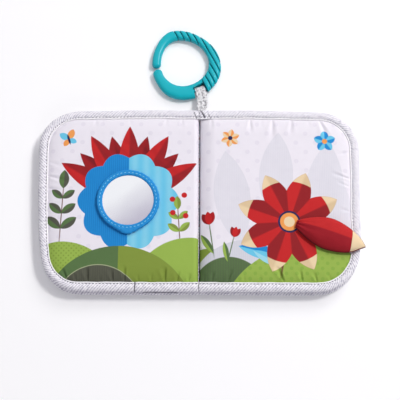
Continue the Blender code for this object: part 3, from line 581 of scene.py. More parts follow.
LEFT_PRINT = print_look("left_page_print", paint_left)
RIGHT_PRINT = print_look("right_page_print", paint_right)
PLAIN_PRINT = print_look("plain_print", paint_plain)
COVER_CLOTH = print_look("cover_cloth", paint_cover, BLUE_GROUND, 0.18)
TAPE = tape_look()
RIBBON = ribbon_look()
RING = ring_look()
MIRROR = mirror_look()
WADDING = stuffing_look(
    "white_wadding", rgb(226, 226, 224), rgb(248, 248, 246), 1.0, (700.0, 5.0), 500.0, 0.5
)
FILM = stuffing_look(
    "crinkle_film", rgb(206, 212, 222), rgb(232, 236, 242), 0.25, (120.0, 4.0), 260.0, 0.4
)
RED_CLOTH = red_look()
BLUE_CLOTH = cloth_look("blue_cloth", rgb(34, 142, 212), 0.6)
CREAM_CLOTH = cloth_look("cream_cloth", rgb(238, 214, 174))
# Grey thread, painted darker than its own grey so that it also carries the painted shade of the
# stitch groove
GREY_THREAD_AND_GROOVE_SHADE = cloth_look("grey_thread", rgb(82, 78, 92))
BLUE_THREAD = cloth_look("pale_blue_thread", rgb(132, 212, 244), 0.6)
RED_THREAD = cloth_look("dark_red_thread", rgb(96, 14, 22))


# Meshes


def piece(name, points, faces, looks, body=None, marks=None, face_looks=None):
    """A smooth mesh in the model's frame. marks are points' own coordinates along a tape; on a tape
    their third value paints its roll whiter and its creases dark, painted highlight and painted
    shade.
    """
    mesh = bpy.data.meshes.new(name)
    mesh.from_pydata(np.asarray(points, float).tolist(), [], faces)
    for look in looks if isinstance(looks, (list, tuple)) else [looks]:
        mesh.materials.append(look)
    if face_looks is not None:
        mesh.polygons.foreach_set("material_index", face_looks)
    if marks is not None:
        made = mesh.attributes.new("tape", "FLOAT_VECTOR", "POINT")
        made.data.foreach_set("vector", np.asarray(marks, np.float32).ravel())
    mesh.shade_smooth()
    mesh.update()
    made = bpy.data.objects.new(name, mesh)
    bpy.context.scene.collection.objects.link(made)
    if body:
        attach(made, body)
    return made


def stand_for(made, slot, *nodes):
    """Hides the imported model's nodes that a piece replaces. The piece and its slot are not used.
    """
    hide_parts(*nodes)


def bend_over_spine(made):
    """Applies a piece's transform to its mesh, where it goes from one cover to the other; it does
    not bend it.
    """
    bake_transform(made)


def stacked(*columns):
    """A list of points from arrays of their coordinates."""
    return np.stack(np.broadcast_arrays(*columns), axis=-1).reshape(-1, 3)


def grid_faces(rows, columns, keep=None, flip=False):
    """Quads of a grid whose points are listed row by row."""
    faces = []
    for i in range(rows - 1):
        for j in range(columns - 1):
            if keep is None or keep[i, j]:
                a = i * columns + j
                faces.append((a, a + 1, a + columns + 1, a + columns))
    return [face[::-1] for face in faces] if flip else faces


def tube_faces(stations, sides, closed=False, flip=False):
    """Quads of a tube whose cross-sections are listed in order, with ends if it is open."""
    faces = []
    for s in range(stations if closed else stations - 1):
        first, second = s * sides, ((s + 1) % stations) * sides
        for k in range(sides):
            j = (k + 1) % sides
            faces.append((first + k, first + j, second + j, second + k))
    if not closed:
        faces.append(tuple(range(sides))[::-1])
        faces.append(tuple(range((stations - 1) * sides, stations * sides)))
    return [face[::-1] for face in faces] if flip else faces


def bundle(name, tubes, look, body):
    """A piece of separate tubes, each an array of stations by sides."""
    points, faces = [], []
    for tube in tubes:
        first = len(points)
        points += list(tube.reshape(-1, 3))
        faces += [tuple(first + i for i in face) for face in tube_faces(*tube.shape[:2])]
    return piece(name, points, faces, look, body)


def thicken(made, thick, offset=-1.0):
    change = made.modifiers.new("thickness", "SOLIDIFY")
    change.thickness, change.offset, change.use_rim = thick, offset, True


def settle(made):
    """Applies a piece's modifiers to its mesh."""
    bpy.context.view_layer.update()
    graph = bpy.context.evaluated_depsgraph_get()
    mesh = bpy.data.meshes.new_from_object(made.evaluated_get(graph))
    made.modifiers.clear()
    made.data = mesh


def ripple(x, y, parts):
    """A smooth uneven surface from -1 to 1: a sum of a few slanted waves."""
    total = 0.0
    for length, angle, phase in parts:
        along = x * math.cos(angle) + y * math.sin(angle)
        total = total + np.sin(along / (length * MM) * math.tau + phase)
    return total / len(parts)


def curve(table, at):
    """A smooth curve through a table of places and values."""
    for i, ((x0, y0), (x1, y1)) in enumerate(zip(table, table[1:])):
        if at <= x1:
            before, after = table[max(i - 1, 0)], table[min(i + 2, len(table) - 1)]
            step, part = x1 - x0, (at - x0) / (x1 - x0)
            slope0 = step * (y1 - before[1]) / (x1 - before[0])
            slope1 = step * (after[1] - y0) / (after[0] - x0)
            s2, s3 = part**2, part**3
            bend = slope0 * (s3 - 2 * s2 + part) + slope1 * (s3 - s2)
            return y0 + (y1 - y0) * (3 * s2 - 2 * s3) + bend
    return table[-1][1]


@functools.lru_cache(maxsize=None)
def sampled(table):
    at = np.linspace(table[0][0], table[-1][0], 301)
    return at, np.array([curve(table, x) for x in at])


def curves(table, values):
    """The same curve at many places."""
    return np.interp(values, *sampled(table))


def clamp(value, high=1.0):
    return min(max(value, 0.0), high)


def smooth(part):
    return part * part * (3.0 - 2.0 * part)


def swollen(value, power):
    """A cosine or sine, made to swell by a power below 1."""
    return np.copysign(np.abs(value) ** power, value)


# Leaves

SOFT_WAVES = ((47.0, 0.4, 0.3), (61.0, 1.9, 1.7), (33.0, 2.7, 4.1), (39.0, 1.1, 2.2))
FINE_WAVES = ((13.0, 0.7, 0.9), (17.0, 2.2, 3.1), (11.0, 1.5, 5.0), (9.0, 2.9, 1.2))
SOFT_HEIGHT, FINE_HEIGHT = 0.22 * MM, 0.06 * MM
CROWN_SHARE = 0.56
GATHER_STRENGTH, BOTTOM_STRENGTH = 0.55, 1.9

# A sewn leaf isn't quite the shape it was cut to. How much wider it is, by its height,
# and how much taller its upper and lower edge is, by the distance from the gutter
LEFT_WIDTH_SHARES = (
    (-1.0, -0.040), (-0.86, -0.032), (-0.62, -0.026), (-0.45, -0.013), (-0.23, -0.002),
    (0.0, 0.007), (0.27, 0.013), (0.5, 0.016), (0.86, 0.022), (1.0, 0.022),
)
RIGHT_WIDTH_SHARES = (
    (-1.0, -0.028), (-0.88, -0.02), (-0.62, -0.004), (-0.45, 0.008),
    (-0.17, 0.011), (0.0, 0.015), (0.25, 0.02), (1.0, 0.02),
)
TOP_HEIGHT_SHARES = ((0.0, 0.02), (0.4, 0.02), (0.67, 0.007), (0.87, 0.0), (1.0, 0.0))
BOTTOM_HEIGHT_SHARES = ((0.0, 0.0), (0.67, 0.0), (0.83, -0.008), (1.0, -0.026))
COVER_WIDER, COVER_TALLER = 0.004, 0.015  # than the pages, at the outer and lower edge

# The gathers sewn in at the tape, by edge: each one's place along it, lean, length, width, depth
LEFT_GATHERS = {
    "bottom": (
        (122.0, 0.5, 13.0, 2.0, 1.5), (114.0, 0.2, 8.0, 1.6, 0.7),
        (102.8, 0.05, 14.0, 2.0, 1.5), (91.0, -0.1, 7.0, 1.5, 0.5),
        (79.0, 0.1, 12.0, 1.8, 1.1), (68.0, 0.0, 15.0, 1.7, 1.1), (55.0, 0.1, 7.0, 1.6, 0.5),
        (43.0, -0.1, 8.0, 1.6, 0.6), (30.5, 0.0, 14.0, 1.9, 1.5), (19.5, -0.2, 10.0, 1.7, 1.2),
        (9.0, -0.2, 8.0, 1.6, 1.0),
    ),
    "top": (
        (98.0, 0.1, 8.0, 1.8, 0.8), (92.0, 0.0, 6.0, 1.4, 0.5), (66.0, -0.1, 9.0, 2.0, 0.5),
        (31.0, 0.1, 9.0, 1.8, 0.7), (16.0, 0.1, 10.0, 1.8, 0.8),
    ),
    "outer": (
        (36.0, -0.35, 16.0, 2.2, 0.5), (22.0, -0.3, 24.0, 2.2, 0.8),
        (10.0, -0.2, 20.0, 2.0, 0.6), (-6.0, 0.1, 12.0, 1.8, 0.5), (-30.0, 0.2, 12.0, 1.8, 0.5),
    ),
}
RIGHT_GATHERS = {
    "bottom": (
        (5.0, 0.1, 8.0, 1.5, 0.8), (12.5, 0.2, 10.0, 1.7, 1.0), (27.2, 0.35, 12.0, 1.8, 1.1),
        (42.0, 0.1, 7.0, 1.5, 0.5), (58.0, -0.1, 7.0, 1.5, 0.5), (79.4, -0.45, 15.0, 2.0, 1.7),
        (96.7, -0.25, 12.0, 1.7, 1.2), (110.5, -0.4, 10.0, 1.6, 0.9),
        (124.0, -0.4, 8.0, 1.5, 0.7),
    ),
    "top": (
        (12.0, 0.0, 12.0, 2.0, 0.9), (49.2, -0.02, 16.0, 2.0, 1.2),
        (60.0, -0.05, 10.0, 1.8, 0.5), (70.4, -0.05, 24.0, 2.6, 1.3),
        (88.7, -0.12, 17.0, 2.1, 1.3), (104.0, 0.1, 9.0, 1.8, 0.6),
        (114.7, 0.35, 20.0, 2.3, 1.7), (130.0, 0.5, 10.0, 1.8, 0.8),
    ),
    "outer": (
        (20.0, 0.3, 17.0, 1.5, 1.3), (12.0, 0.35, 13.0, 1.4, 0.8), (47.0, -0.3, 12.0, 1.8, 0.6),
        (-12.0, 0.2, 11.0, 1.7, 0.6), (-44.0, 0.4, 12.0, 1.8, 0.7),
    ),
}


def sewn(leaf, u, v):
    """Where a place in a leaf's pattern lies in the open book once the leaf is sewn."""
    side, cover = LEAVES[leaf][0], "cover" in leaf
    across, tall = u / LEAF_WIDTH, v / HALF_HEIGHT
    wider = curves(LEFT_WIDTH_SHARES if side < 0 else RIGHT_WIDTH_SHARES, tall)
    upper, lower = curves(TOP_HEIGHT_SHARES, across), curves(BOTTOM_HEIGHT_SHARES, across)
    taller = np.where(v > 0, upper, lower + COVER_TALLER * cover)
    wider = wider + COVER_WIDER * cover
    return side * (u * (1.0 + wider * across**2)), v * (1.0 + taller * tall**2)


def edge_depth(u, v):
    """How far a place lies in from the leaf's outer edges."""
    across = u - (LEAF_WIDTH - CORNER_RADIUS)
    along = np.abs(v) - (HALF_HEIGHT - CORNER_RADIUS)
    corner = CORNER_RADIUS - np.hypot(across, along)
    flat = CORNER_RADIUS - np.maximum(across, along)
    return np.where((across > 0) & (along > 0), corner, flat)


def rise(depth, reach):
    share = np.clip(depth / reach, 0.0, 1.0)
    return (1.0 - (1.0 - share) ** 2) ** CROWN_SHARE


def gathered(u, v, gathers, steep):
    """The share of its fullness that a leaf loses to its gathers.

    steep is the side, along u, on which those at the lower edge are steeper."""
    total = 0.0
    for edge, place, lean, length, width, depth in (
        (edge, *gather) for edge, found in gathers.items() for gather in found
    ):
        if edge == "outer":
            along, inward = v - place * MM, LEAF_WIDTH - u - RISE_START
        else:
            along = u - place * MM
            inward = (HALF_HEIGHT - v if edge == "top" else HALF_HEIGHT + v) - RISE_START
        share = np.clip(inward / (length * MM), 0.0, 1.0)
        spread = width * MM * (0.4 + 0.8 * share)
        off = (along - lean * inward) / spread
        strength = GATHER_STRENGTH
        if edge == "bottom":
            off = off * np.where(off * steep > 0, 1.7, 0.75)
            strength = GATHER_STRENGTH * BOTTOM_STRENGTH
        off = np.abs(off)
        valley = np.exp(-(off**1.6)) - 0.28 * np.exp(-((off - 2.0) ** 2))
        total = total + strength * depth * (1.0 - share) ** 1.1 * valley
    return np.clip(total, -0.2, 0.88)


def leaf_height(u, v, inner, inner_half, inner_reach=INNER_REACH, gathers=None, steep=1):
    """Half thickness of a padded leaf at a place. A side that shows is gathered and uneven."""
    depth = edge_depth(u, v) - RISE_START
    reach = FACE_REACH if gathers else HIDDEN_REACH
    full = inner_half + (LEAF_HALF - inner_half) * rise(u - inner, inner_reach)
    padded = rise(depth, reach) * (1.0 - gathered(u, v, gathers or {}, steep))
    height = EDGE_HALF + (full - EDGE_HALF) * padded
    if gathers:
        wobble = SOFT_HEIGHT * ripple(u, v, SOFT_WAVES)
        wobble = wobble + FINE_HEIGHT * ripple(u, v, FINE_WAVES)
        height = height + (wobble - SOFT_HEIGHT) * np.clip(depth / reach, 0.0, 1.0)
    return height


def leaf_cloth(leaf, part, up, start, height, look, slot, node=None, step=GRID_STEP):
    """One cloth side of a leaf. up is 1 for the upper side. node ends the name it stands for."""
    side, middle, _, _ = LEAVES[leaf]
    us = np.arange(start, LEAF_WIDTH, step)
    vs = np.arange(-HALF_HEIGHT + 2 * MM, HALF_HEIGHT - 1.9 * MM, step)
    u, v = np.meshgrid(us, vs, indexing="ij")
    points = stacked(*sewn(leaf, u, v), middle + up * height(u, v))
    cells = ((grid[:-1, :-1] + grid[1:, 1:]) / 2 for grid in (u, v))
    faces = grid_faces(len(us), len(vs), edge_depth(*cells) > CLOTH_EDGE, side * up > 0)
    used = sorted({i for face in faces for i in face})
    place = {old: new for new, old in enumerate(used)}
    faces = [tuple(place[i] for i in face) for face in faces]
    made = piece(f"{leaf}_{part}_cloth", points[used], faces, look, leaf)
    thicken(made, CLOTH_THICK)
    stand_for(made, slot, f"{leaf}_{node or part}")
    leaf + "_padding"


GUTTER_LEFT, GUTTER_RIGHT = 0.1 * MM, 1.1 * MM  # where the pages' faces go down
LEFT_SINK, RIGHT_SINK = 1.9 * MM, 2.8 * MM
SEAM_PAGE_HALF, SEAM_LINING_HALF = 3.8 * MM, 4.4 * MM  # where they meet the seam
GUTTER_LIP = 5.0 * MM
SEAM_GAP = 1.2 * MM


def page_face(start, reach, fall, sink, gathers, steep):
    """The upper side of a page, which rolls down into the gutter.

    fall is the share of the way down that is a slope over the whole reach."""

    def height(u, v):
        sides = leaf_height(u, v, PAGE_INNER, INNER_HALF, INNER_REACH, gathers, steep)
        full = leaf_height(u, v, -LEAF_WIDTH, LEAF_HALF, LEAF_WIDTH, gathers, steep)
        share, lip = (np.clip((u - start) / over, 0.0, 1.0) for over in (reach, GUTTER_LIP))
        slope = 1.0 - (1.0 - share) ** 2
        near = fall * slope + (1.0 - fall) * np.sqrt(1.0 - (1.0 - lip) ** 2)
        rolled = -sink + (full + sink) * near
        return np.where(u < PAGE_INNER + INNER_REACH, rolled, np.maximum(sides, rolled))

    return height


def hidden_side(inner, reach, seam_half):
    """A page's reverse or a cover's lining, which lie on each other and meet the seam."""

    def height(u, v):
        share = np.clip(1.0 - (u - SEAM_GAP) / reach, 0.0, 1.0)
        return leaf_height(u, v, inner, INNER_HALF) * (1.0 - share) + seam_half * share

    return height


def cover_outside(u, v):
    return leaf_height(u, v, COVER_INNER, LEAF_HALF)


for leaf, start, face, look in (
    (
        "left_page",
        GUTTER_LEFT,
        page_face(GUTTER_LEFT, 8.0 * MM, 0.0, LEFT_SINK, LEFT_GATHERS, -1),
        LEFT_PRINT,
    ),
    (
        "right_page",
        GUTTER_RIGHT,
        page_face(GUTTER_RIGHT, 15.0 * MM, 0.88, RIGHT_SINK, RIGHT_GATHERS, 1),
        RIGHT_PRINT,
    ),
):
    leaf_cloth(leaf, "face", 1, start, face, look, "page_print", step=FACE_STEP)

PAGE_REVERSE = hidden_side(PAGE_INNER, 5.0 * MM, SEAM_PAGE_HALF)
COVER_LINING = hidden_side(COVER_INNER, 6.0 * MM, SEAM_LINING_HALF)
for page, cover in (("left_page", "front_cover"), ("right_page", "back_cover")):
    leaf_cloth(page, "reverse", -1, SEAM_GAP, PAGE_REVERSE, PLAIN_PRINT, "lining_print")
    leaf_cloth(cover, "lining", 1, SEAM_GAP, COVER_LINING, PLAIN_PRINT, "lining_print")
    leaf_cloth(cover, "outer", -1, SPINE_HALF, cover_outside, COVER_CLOTH, "cover_cloth", "fabric")


# Spine


def spine_fold():
    """The sewn fold that holds the page leaves, deep in the gutter."""
    half, top, low = 0.45 * MM, GUTTER.z - 6.8 * MM, 1.3 * MM
    section = [(half, low), (half, top - half), (0.6 * half, top)]
    section = [(-half, low), *section, (-0.6 * half, top), (-half, top - half)]
    end = HALF_HEIGHT - 2 * MM
    ys = np.linspace(-end, end, 89)
    points = [(x + 0.08 * MM * math.sin(y / (7 * MM)), y, z) for y in ys for x, z in section]
    faces = tube_faces(len(ys), len(section), flip=True)
    marks = [(y, z, 0.0) for _, y, z in points]
    made = piece("spine_fold", points, faces, TAPE, "back_cover", marks)
    stand_for(made, "twill_tape", "spine_seam")


def spine_cloth():
    """The cloth that joins the covers, laid flat under the open book's back."""
    us = np.linspace(-SPINE_HALF - 0.2 * MM, SPINE_HALF + 0.2 * MM, 49)
    vs = np.arange(-HALF_HEIGHT + 2 * MM, HALF_HEIGHT - 1.9 * MM, GRID_STEP)
    u, v = np.meshgrid(us, vs, indexing="ij")
    z = COVER_MIDDLE - cover_outside(np.full_like(u, 40 * MM), v)
    points = stacked(u, v, np.maximum(z - 0.02 * MM, 0.0))
    made = piece("spine_cloth", points, grid_faces(len(us), len(vs), flip=True), COVER_CLOTH)
    thicken(made, CLOTH_THICK, 1.0)
    stand_for(made, "cover_cloth", "spine_strip")
    bend_over_spine(made)


spine_fold()
spine_cloth()


# Twill tape round the leaves' edges

# Its section from its inner edge over the outer edge: in from the outer edge, and up, in mm.
# The first points are the rolled edge, and the lowest place after it is the stitch line
TAPE_UPPER = (
    (8.80, 1.25), (8.86, 1.65), (8.78, 2.02), (8.52, 2.30), (8.14, 2.38), (7.80, 2.24),
    (7.60, 1.95), (7.46, 1.66), (7.20, 1.55), (6.95, 1.66), (6.70, 1.95), (6.25, 2.30),
    (5.6, 2.56), (4.7, 2.70), (3.7, 2.70), (2.8, 2.50), (1.9, 2.12), (1.1, 1.58), (0.5, 1.0),
    (0.12, 0.36),
)
TAPE_WALL = ((1.2, 0.9), (2.0, 1.15), (8.75, 1.2))  # the upper half of its inner side
TAPE_OUTSIDE = TAPE_UPPER + tuple((t, -h) for t, h in reversed(TAPE_UPPER))
TAPE_SECTION = TAPE_OUTSIDE + tuple((t, -h) for t, h in reversed(TAPE_WALL)) + TAPE_WALL
TAPE_IN, TAPE_UP = np.array(TAPE_SECTION).T * MM
TAPE_NUMBER = np.arange(len(TAPE_SECTION))
ROLL_POINTS = 7
# 1 on the rolled edge's points, which the tape's material paints whiter as a painted highlight
ROLL_PAINTED_HIGHLIGHT = np.where(
    (TAPE_NUMBER < ROLL_POINTS)
    | ((TAPE_NUMBER >= len(TAPE_OUTSIDE) - ROLL_POINTS) & (TAPE_NUMBER < len(TAPE_OUTSIDE))),
    1.0,
    0.0,
)
STITCH_INSET, STITCH_HEIGHT = 7.2 * MM, 1.56 * MM
STITCH_STEP, STITCH_SHARES = 3.3 * MM, (0.2, 0.76)
STATION_STEP = 0.9 * MM
TAPE_LOWEST, TAPE_RIM_LOWEST = 1.32 * MM, 0.95 * MM  # above the cloth that the tape holds
# Grooves across the leaves' tapes, whose creases the tape's material also paints dark as painted
# shade: leaf, edge, first and last place (from the gutter, and in from the outer edge), half width
# and depth, in mm
TAPE_GROOVES = (
    ("left_page", -1, (58.4, 8.2), (58.9, -1.0), 0.42, 1.3),
    ("right_page", 1, (1.0, -0.5), (5.6, 7.5), 0.55, 1.4),
    ("left_page", 1, (2.2, 9.0), (4.8, 2.5), 0.5, 0.6),
    ("right_page", 1, (11.5, 9.0), (8.8, 4.5), 0.45, 0.45),
    ("front_cover", -1, (20.0, 3.1), (50.0, 3.1), 0.9, 1.2),
)


def leaf_outline(start, step):
    """Stations along a leaf's three outer edges: place, inward direction and running length."""
    radius, arc = CORNER_RADIUS, CORNER_RADIUS * math.pi / 2
    straight, tall = LEAF_WIDTH - radius - start, 2 * (HALF_HEIGHT - radius)
    total = 2 * straight + 2 * arc + tall
    s = np.linspace(0.0, total, int(total / step) + 1)
    near = np.minimum(s, total - s)  # from the nearer end, as the outline is the same both ways
    up = np.where(s > total / 2, 1.0, -1.0)
    turn = np.clip((near - straight) / radius, 0.0, math.pi / 2)
    u = start + np.minimum(near, straight) + radius * np.sin(turn)
    v = HALF_HEIGHT - radius * (1.0 - np.cos(turn)) - np.maximum(near - straight - arc, 0.0)
    return np.stack([u, up * v, -np.sin(turn), -up * np.cos(turn), s], axis=-1)


def tape_swell(s, phase):
    """Small uneven swells of a tape along its length, from -1 to 1."""
    waves = ((5.3, 1.0), (8.9, 2.1), (23.0, 0.7))
    return sum(np.sin(s / (length * MM) * math.tau + by * phase) for length, by in waves) / 3


def tape_height(height, s, phase):
    return height * (1.0 + 0.07 * tape_swell(s, phase))


def groove_depth(name, u, v, inset):
    """How deep the folds and joins in a tape draw it down at places on it."""
    total = np.zeros(np.broadcast(u, v, inset).shape)
    for leaf, edge, first, last, half, depth in TAPE_GROOVES:
        if leaf == name:
            span = (last[0] - first[0], last[1] - first[1])
            away_u, away_in = u / MM - first[0], inset / MM - first[1]
            part = (away_u * span[0] + away_in * span[1]) / (span[0] ** 2 + span[1] ** 2)
            part = np.clip(part, 0.0, 1.0)
            off = np.hypot(away_u - part * span[0], away_in - part * span[1])
            near = (v * edge > HALF_HEIGHT - 12 * MM) & (u < LEAF_WIDTH / 2)
            total = np.maximum(total, near * depth * np.exp(-((off / half) ** 2)))
    return total * MM


def tape_rows(name, start):
    """A tape's stations, closer together where it is creased."""
    rows = leaf_outline(start, STATION_STEP / 3)
    keep = np.arange(len(rows)) % 3 == 0
    for leaf, edge, first, last, half, _ in TAPE_GROOVES:
        if leaf == name:
            low, high = (f(first[0], last[0]) for f in (min, max))
            near = (rows[:, 0] > (low - 2 * half) * MM) & (rows[:, 0] < (high + 2 * half) * MM)
            keep |= near & (rows[:, 1] * edge > HALF_HEIGHT - 1 * MM)
    keep[0] = keep[-1] = True
    return rows[keep]


def binding(leaf):
    """A leaf's tape, folded over its edges."""
    side, middle, start, phase = LEAVES[leaf]
    rows = tape_rows(leaf, start)
    u, v, in_u, in_v, s = (rows[:, i, None] for i in range(5))
    t, upper = TAPE_IN, TAPE_NUMBER < len(TAPE_UPPER)
    inset = t * (1.0 + 0.25 * MM * tape_swell(s * 0.31, phase + 1.0) / (9 * MM))
    outside = TAPE_NUMBER < len(TAPE_OUTSIDE)
    lift = np.where(outside, tape_height(TAPE_UP, s, phase), TAPE_UP)
    end = np.where(u < LEAF_WIDTH / 2, np.exp(-((u / (1.2 * MM)) ** 2)), 0.0)
    groove = groove_depth(leaf, u, v, inset) * upper
    drop = groove + 0.5 * MM * end * upper
    lowest = np.where(t > 2 * MM, TAPE_LOWEST, np.where(t > 1 * MM, TAPE_RIM_LOWEST, 0.0))
    lift = np.where(drop > 0.0, np.maximum(lift - drop, np.minimum(lift, lowest)), lift)
    points = stacked(*sewn(leaf, u + in_u * inset, v + in_v * inset), middle + lift)
    # A mark of painted light: 1 on the roll, painted whiter as a highlight, and down to -1 in the
    # grooves, painted dark as shade
    painted_light_mark = ROLL_PAINTED_HIGHLIGHT * (groove < 0.1 * MM) - np.clip(groove / (0.7 * MM), 0.0, 1.0)
    faces = tube_faces(len(rows), len(TAPE_SECTION), flip=side > 0)
    made = piece(leaf + "_tape", points, faces, TAPE, leaf, stacked(side * s, t, painted_light_mark))
    stand_for(made, "twill_tape", leaf + "_binding")


def capsule(start, end, radius, sink, steps=5, sides=6):
    """One stitch: a thread that dips at both ends."""
    along = np.subtract(end, start)
    flat = along / np.linalg.norm(along)
    across = np.cross(flat, (0.0, 0.0, 1.0))
    across /= np.linalg.norm(across)
    share = np.linspace(0.0, 1.0, steps)[:, None, None]
    turn = math.tau * np.arange(sides)[:, None] / sides
    size = radius * np.where(abs(2 * share - 1) < 1, 1.0, 0.45)
    lift = size * np.sin(turn) - sink * (2 * share - 1) ** 4
    middle = start + along * share
    return middle + across * size * np.cos(turn) + np.cross(across, flat) * lift


def thread_piece(name, stitches, radius, look, body, sink=0.3 * MM):
    bundle(name, [capsule(*ends, radius, sink) for ends in stitches], look, body)


def tape_stitches(leaf):
    _, middle, start, phase = LEAVES[leaf]
    rows = leaf_outline(start, STITCH_STEP)
    stitches = []
    for up in (1, -1):
        ends = []
        for share in STITCH_SHARES:
            u, v, in_u, in_v, s = (rows[:-1] * (1 - share) + rows[1:] * share).T
            x, y = sewn(leaf, u + in_u * STITCH_INSET, v + in_v * STITCH_INSET)
            lift = tape_height(STITCH_HEIGHT, s, phase) + 0.1 * MM
            ends.append(stacked(x, y, middle + up * lift))
        stitches += zip(*ends)
    # The stitches' dark grey is partly the thread's own colour and partly painted shade of the
    # groove
    thread_piece(leaf + "_tape_stitches", stitches, 0.32 * MM, GREY_THREAD_AND_GROOVE_SHADE, leaf)


for leaf in LEAVES:
    binding(leaf)
    tape_stitches(leaf)


def spine_tape(name, end):
    """The covers' tape where it crosses the spine, at one end of the book."""
    xs = np.linspace(-SPINE_HALF - 0.1 * MM, SPINE_HALF + 0.1 * MM, 31)[:, None]
    _, y = sewn("back_cover", abs(xs), end * (HALF_HEIGHT - TAPE_IN))
    faces = tube_faces(len(xs), len(TAPE_SECTION), flip=end > 0)
    # The roll is marked to be painted whiter, a painted highlight
    points, marks = stacked(xs, y, COVER_MIDDLE + TAPE_UP), stacked(xs, TAPE_IN, ROLL_PAINTED_HIGHLIGHT)
    made = piece(name, points, faces, TAPE, None, marks)
    bend_over_spine(made)


spine_tape("spine_tape_bottom", -1)
spine_tape("spine_tape_top", 1)


# Mirror's stuffed rim

RIM_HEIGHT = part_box("mirror_bezel")[1].z - PAGE_TOP
RIM_POINT = 3.4 * MM
RIM_STATIONS, RIM_SIDES, RIM_STITCHES = 240, 26, 46
RIM_GATHERS = ((0.055, 46, 0.0), (0.045, 29, 1.3), (0.03, 71, 0.5))


def rim_place(angle, turn):
    """A place on the rim's tube: angle round the mirror and turn round the tube."""
    middle, half = (RIM_INNER + RIM_OUTER) / 2, (RIM_OUTER - RIM_INNER) / 2
    lobe = max(0.0, -math.sin(angle)) ** 26
    across, up = math.cos(turn), math.sin(turn)
    gather = sum(size * math.sin(count * angle + phase) for size, count, phase in RIM_GATHERS)
    gather *= 1.0 if across > 0 else 0.3
    side_share = abs(across) ** 1.5
    radius = middle + half * swollen(across, 0.85) * (1.0 + gather * side_share)
    radius += RIM_POINT * lobe * max(0.0, across)
    height = RIM_HEIGHT / 2 * (1.0 + swollen(up, 0.8))
    height *= 1.0 + 0.5 * gather * (1.0 - side_share)
    height -= 0.45 * MM * math.exp(-((turn - math.pi / 2) ** 2) / 0.03)
    x, y = MIRROR_X + radius * math.cos(angle), MIRROR_Y + radius * math.sin(angle)
    return x, y, PAGE_TOP - 0.25 * MM + height


def mirror_rim():
    points = [
        rim_place(math.tau * s / RIM_STATIONS, math.tau * k / RIM_SIDES)
        for s in range(RIM_STATIONS)
        for k in range(RIM_SIDES)
    ]
    faces = tube_faces(RIM_STATIONS, RIM_SIDES, closed=True)
    made = piece("mirror_rim_cloth", points, faces, BLUE_CLOTH, "left_page")
    stand_for(made, "blue_cloth", "mirror_bezel")
    stitches = []
    for i in range(RIM_STITCHES):
        ends = [rim_place(math.tau * (i + a) / RIM_STITCHES, math.pi / 2) for a in (0.1, 0.72)]
        stitches.append([(x, y, z + 0.12 * MM) for x, y, z in ends])
    radius, sink = 0.38 * MM, 0.15 * MM
    thread_piece("mirror_rim_stitches", stitches, radius, BLUE_THREAD, "left_page", sink)


mirror_rim()


# Stuffed flap

FLAP_LENGTH, FLAP_WIDTH = 65.3 * MM, 26.0 * MM
FLAP_CROWN, FLAP_BELLY = 6.2 * MM, 2.8 * MM
FLAP_TIP_START = 51.4 * MM
FLAP_TIP_LEAN = 0.16  # of the seam between the red cloth and the tip
FLAP_STATIONS, FLAP_SIDES = 96, 64
# Its upper and lower edge, and its height, by shares of its length
FLAP_UPPER_SHARES = (
    (0.0, 0.14), (0.06, 0.25), (0.24, 0.47), (0.44, 0.58), (0.63, 0.52), (0.79, 0.40),
    (0.92, 0.20), (1.0, 0.0),
)
FLAP_LOWER_SHARES = (
    (0.0, -0.14), (0.06, -0.23), (0.18, -0.38), (0.37, -0.53), (0.54, -0.54), (0.70, -0.455),
    (0.83, -0.31), (0.94, -0.12), (1.0, 0.0),
)
FLAP_HEIGHT_SHARES = (
    (0.0, 0.16), (0.08, 0.40), (0.25, 0.82), (0.44, 1.0), (0.65, 0.93), (0.80, 0.68),
    (0.92, 0.36), (1.0, 0.0),
)


def turned(place, angle, along, across):
    """The level place that lies so far along and across a direction from another one."""
    cos, sin = math.cos(angle), math.sin(angle)
    return place[0] + along * cos - across * sin, place[1] + along * sin + across * cos


def flap_place(a, b, height):
    return (*turned(FLAP_ROOT, FLAP_TURN, a, b), FLAP_ROOT.z + height)


def flap_points():
    """Cross-sections of the flap. Each starts at its upper edge and goes over the top."""
    points = []
    for s in range(FLAP_STATIONS):
        share = s / (FLAP_STATIONS - 1)
        a = FLAP_LENGTH * share
        upper = FLAP_WIDTH * curve(FLAP_UPPER_SHARES, share)
        lower = FLAP_WIDTH * curve(FLAP_LOWER_SHARES, share)
        full = max(curve(FLAP_HEIGHT_SHARES, share), 0.02)
        middle, half = (upper + lower) / 2, max((upper - lower) / 2, 0.25 * MM)
        tip = math.exp(-(((a - FLAP_TIP_START) / (9 * MM)) ** 2))
        for k in range(FLAP_SIDES):
            turn = math.tau * k / FLAP_SIDES
            across, up = math.cos(turn), math.sin(turn)
            ridge = max(1.0 - abs(across) ** 2.2, 0.0)
            crown = FLAP_CROWN if up > 0 else FLAP_BELLY
            height = math.copysign(ridge**0.6 * crown * full, up)
            pleat = 0.85 * MM * math.sin(across * 10.0 + 0.6) * math.exp(-a / (10 * MM))
            edge = math.exp(-(((abs(across) - 0.75) / 0.22) ** 2))
            crease = 0.28 * MM * math.sin(a / (5.1 * MM) + across * 3.0) * edge
            if up > 0:
                height += (pleat + crease) * ridge
            b = middle + half * across
            points.append(flap_place(a - FLAP_TIP_LEAN * b * tip, b, height))
    return points


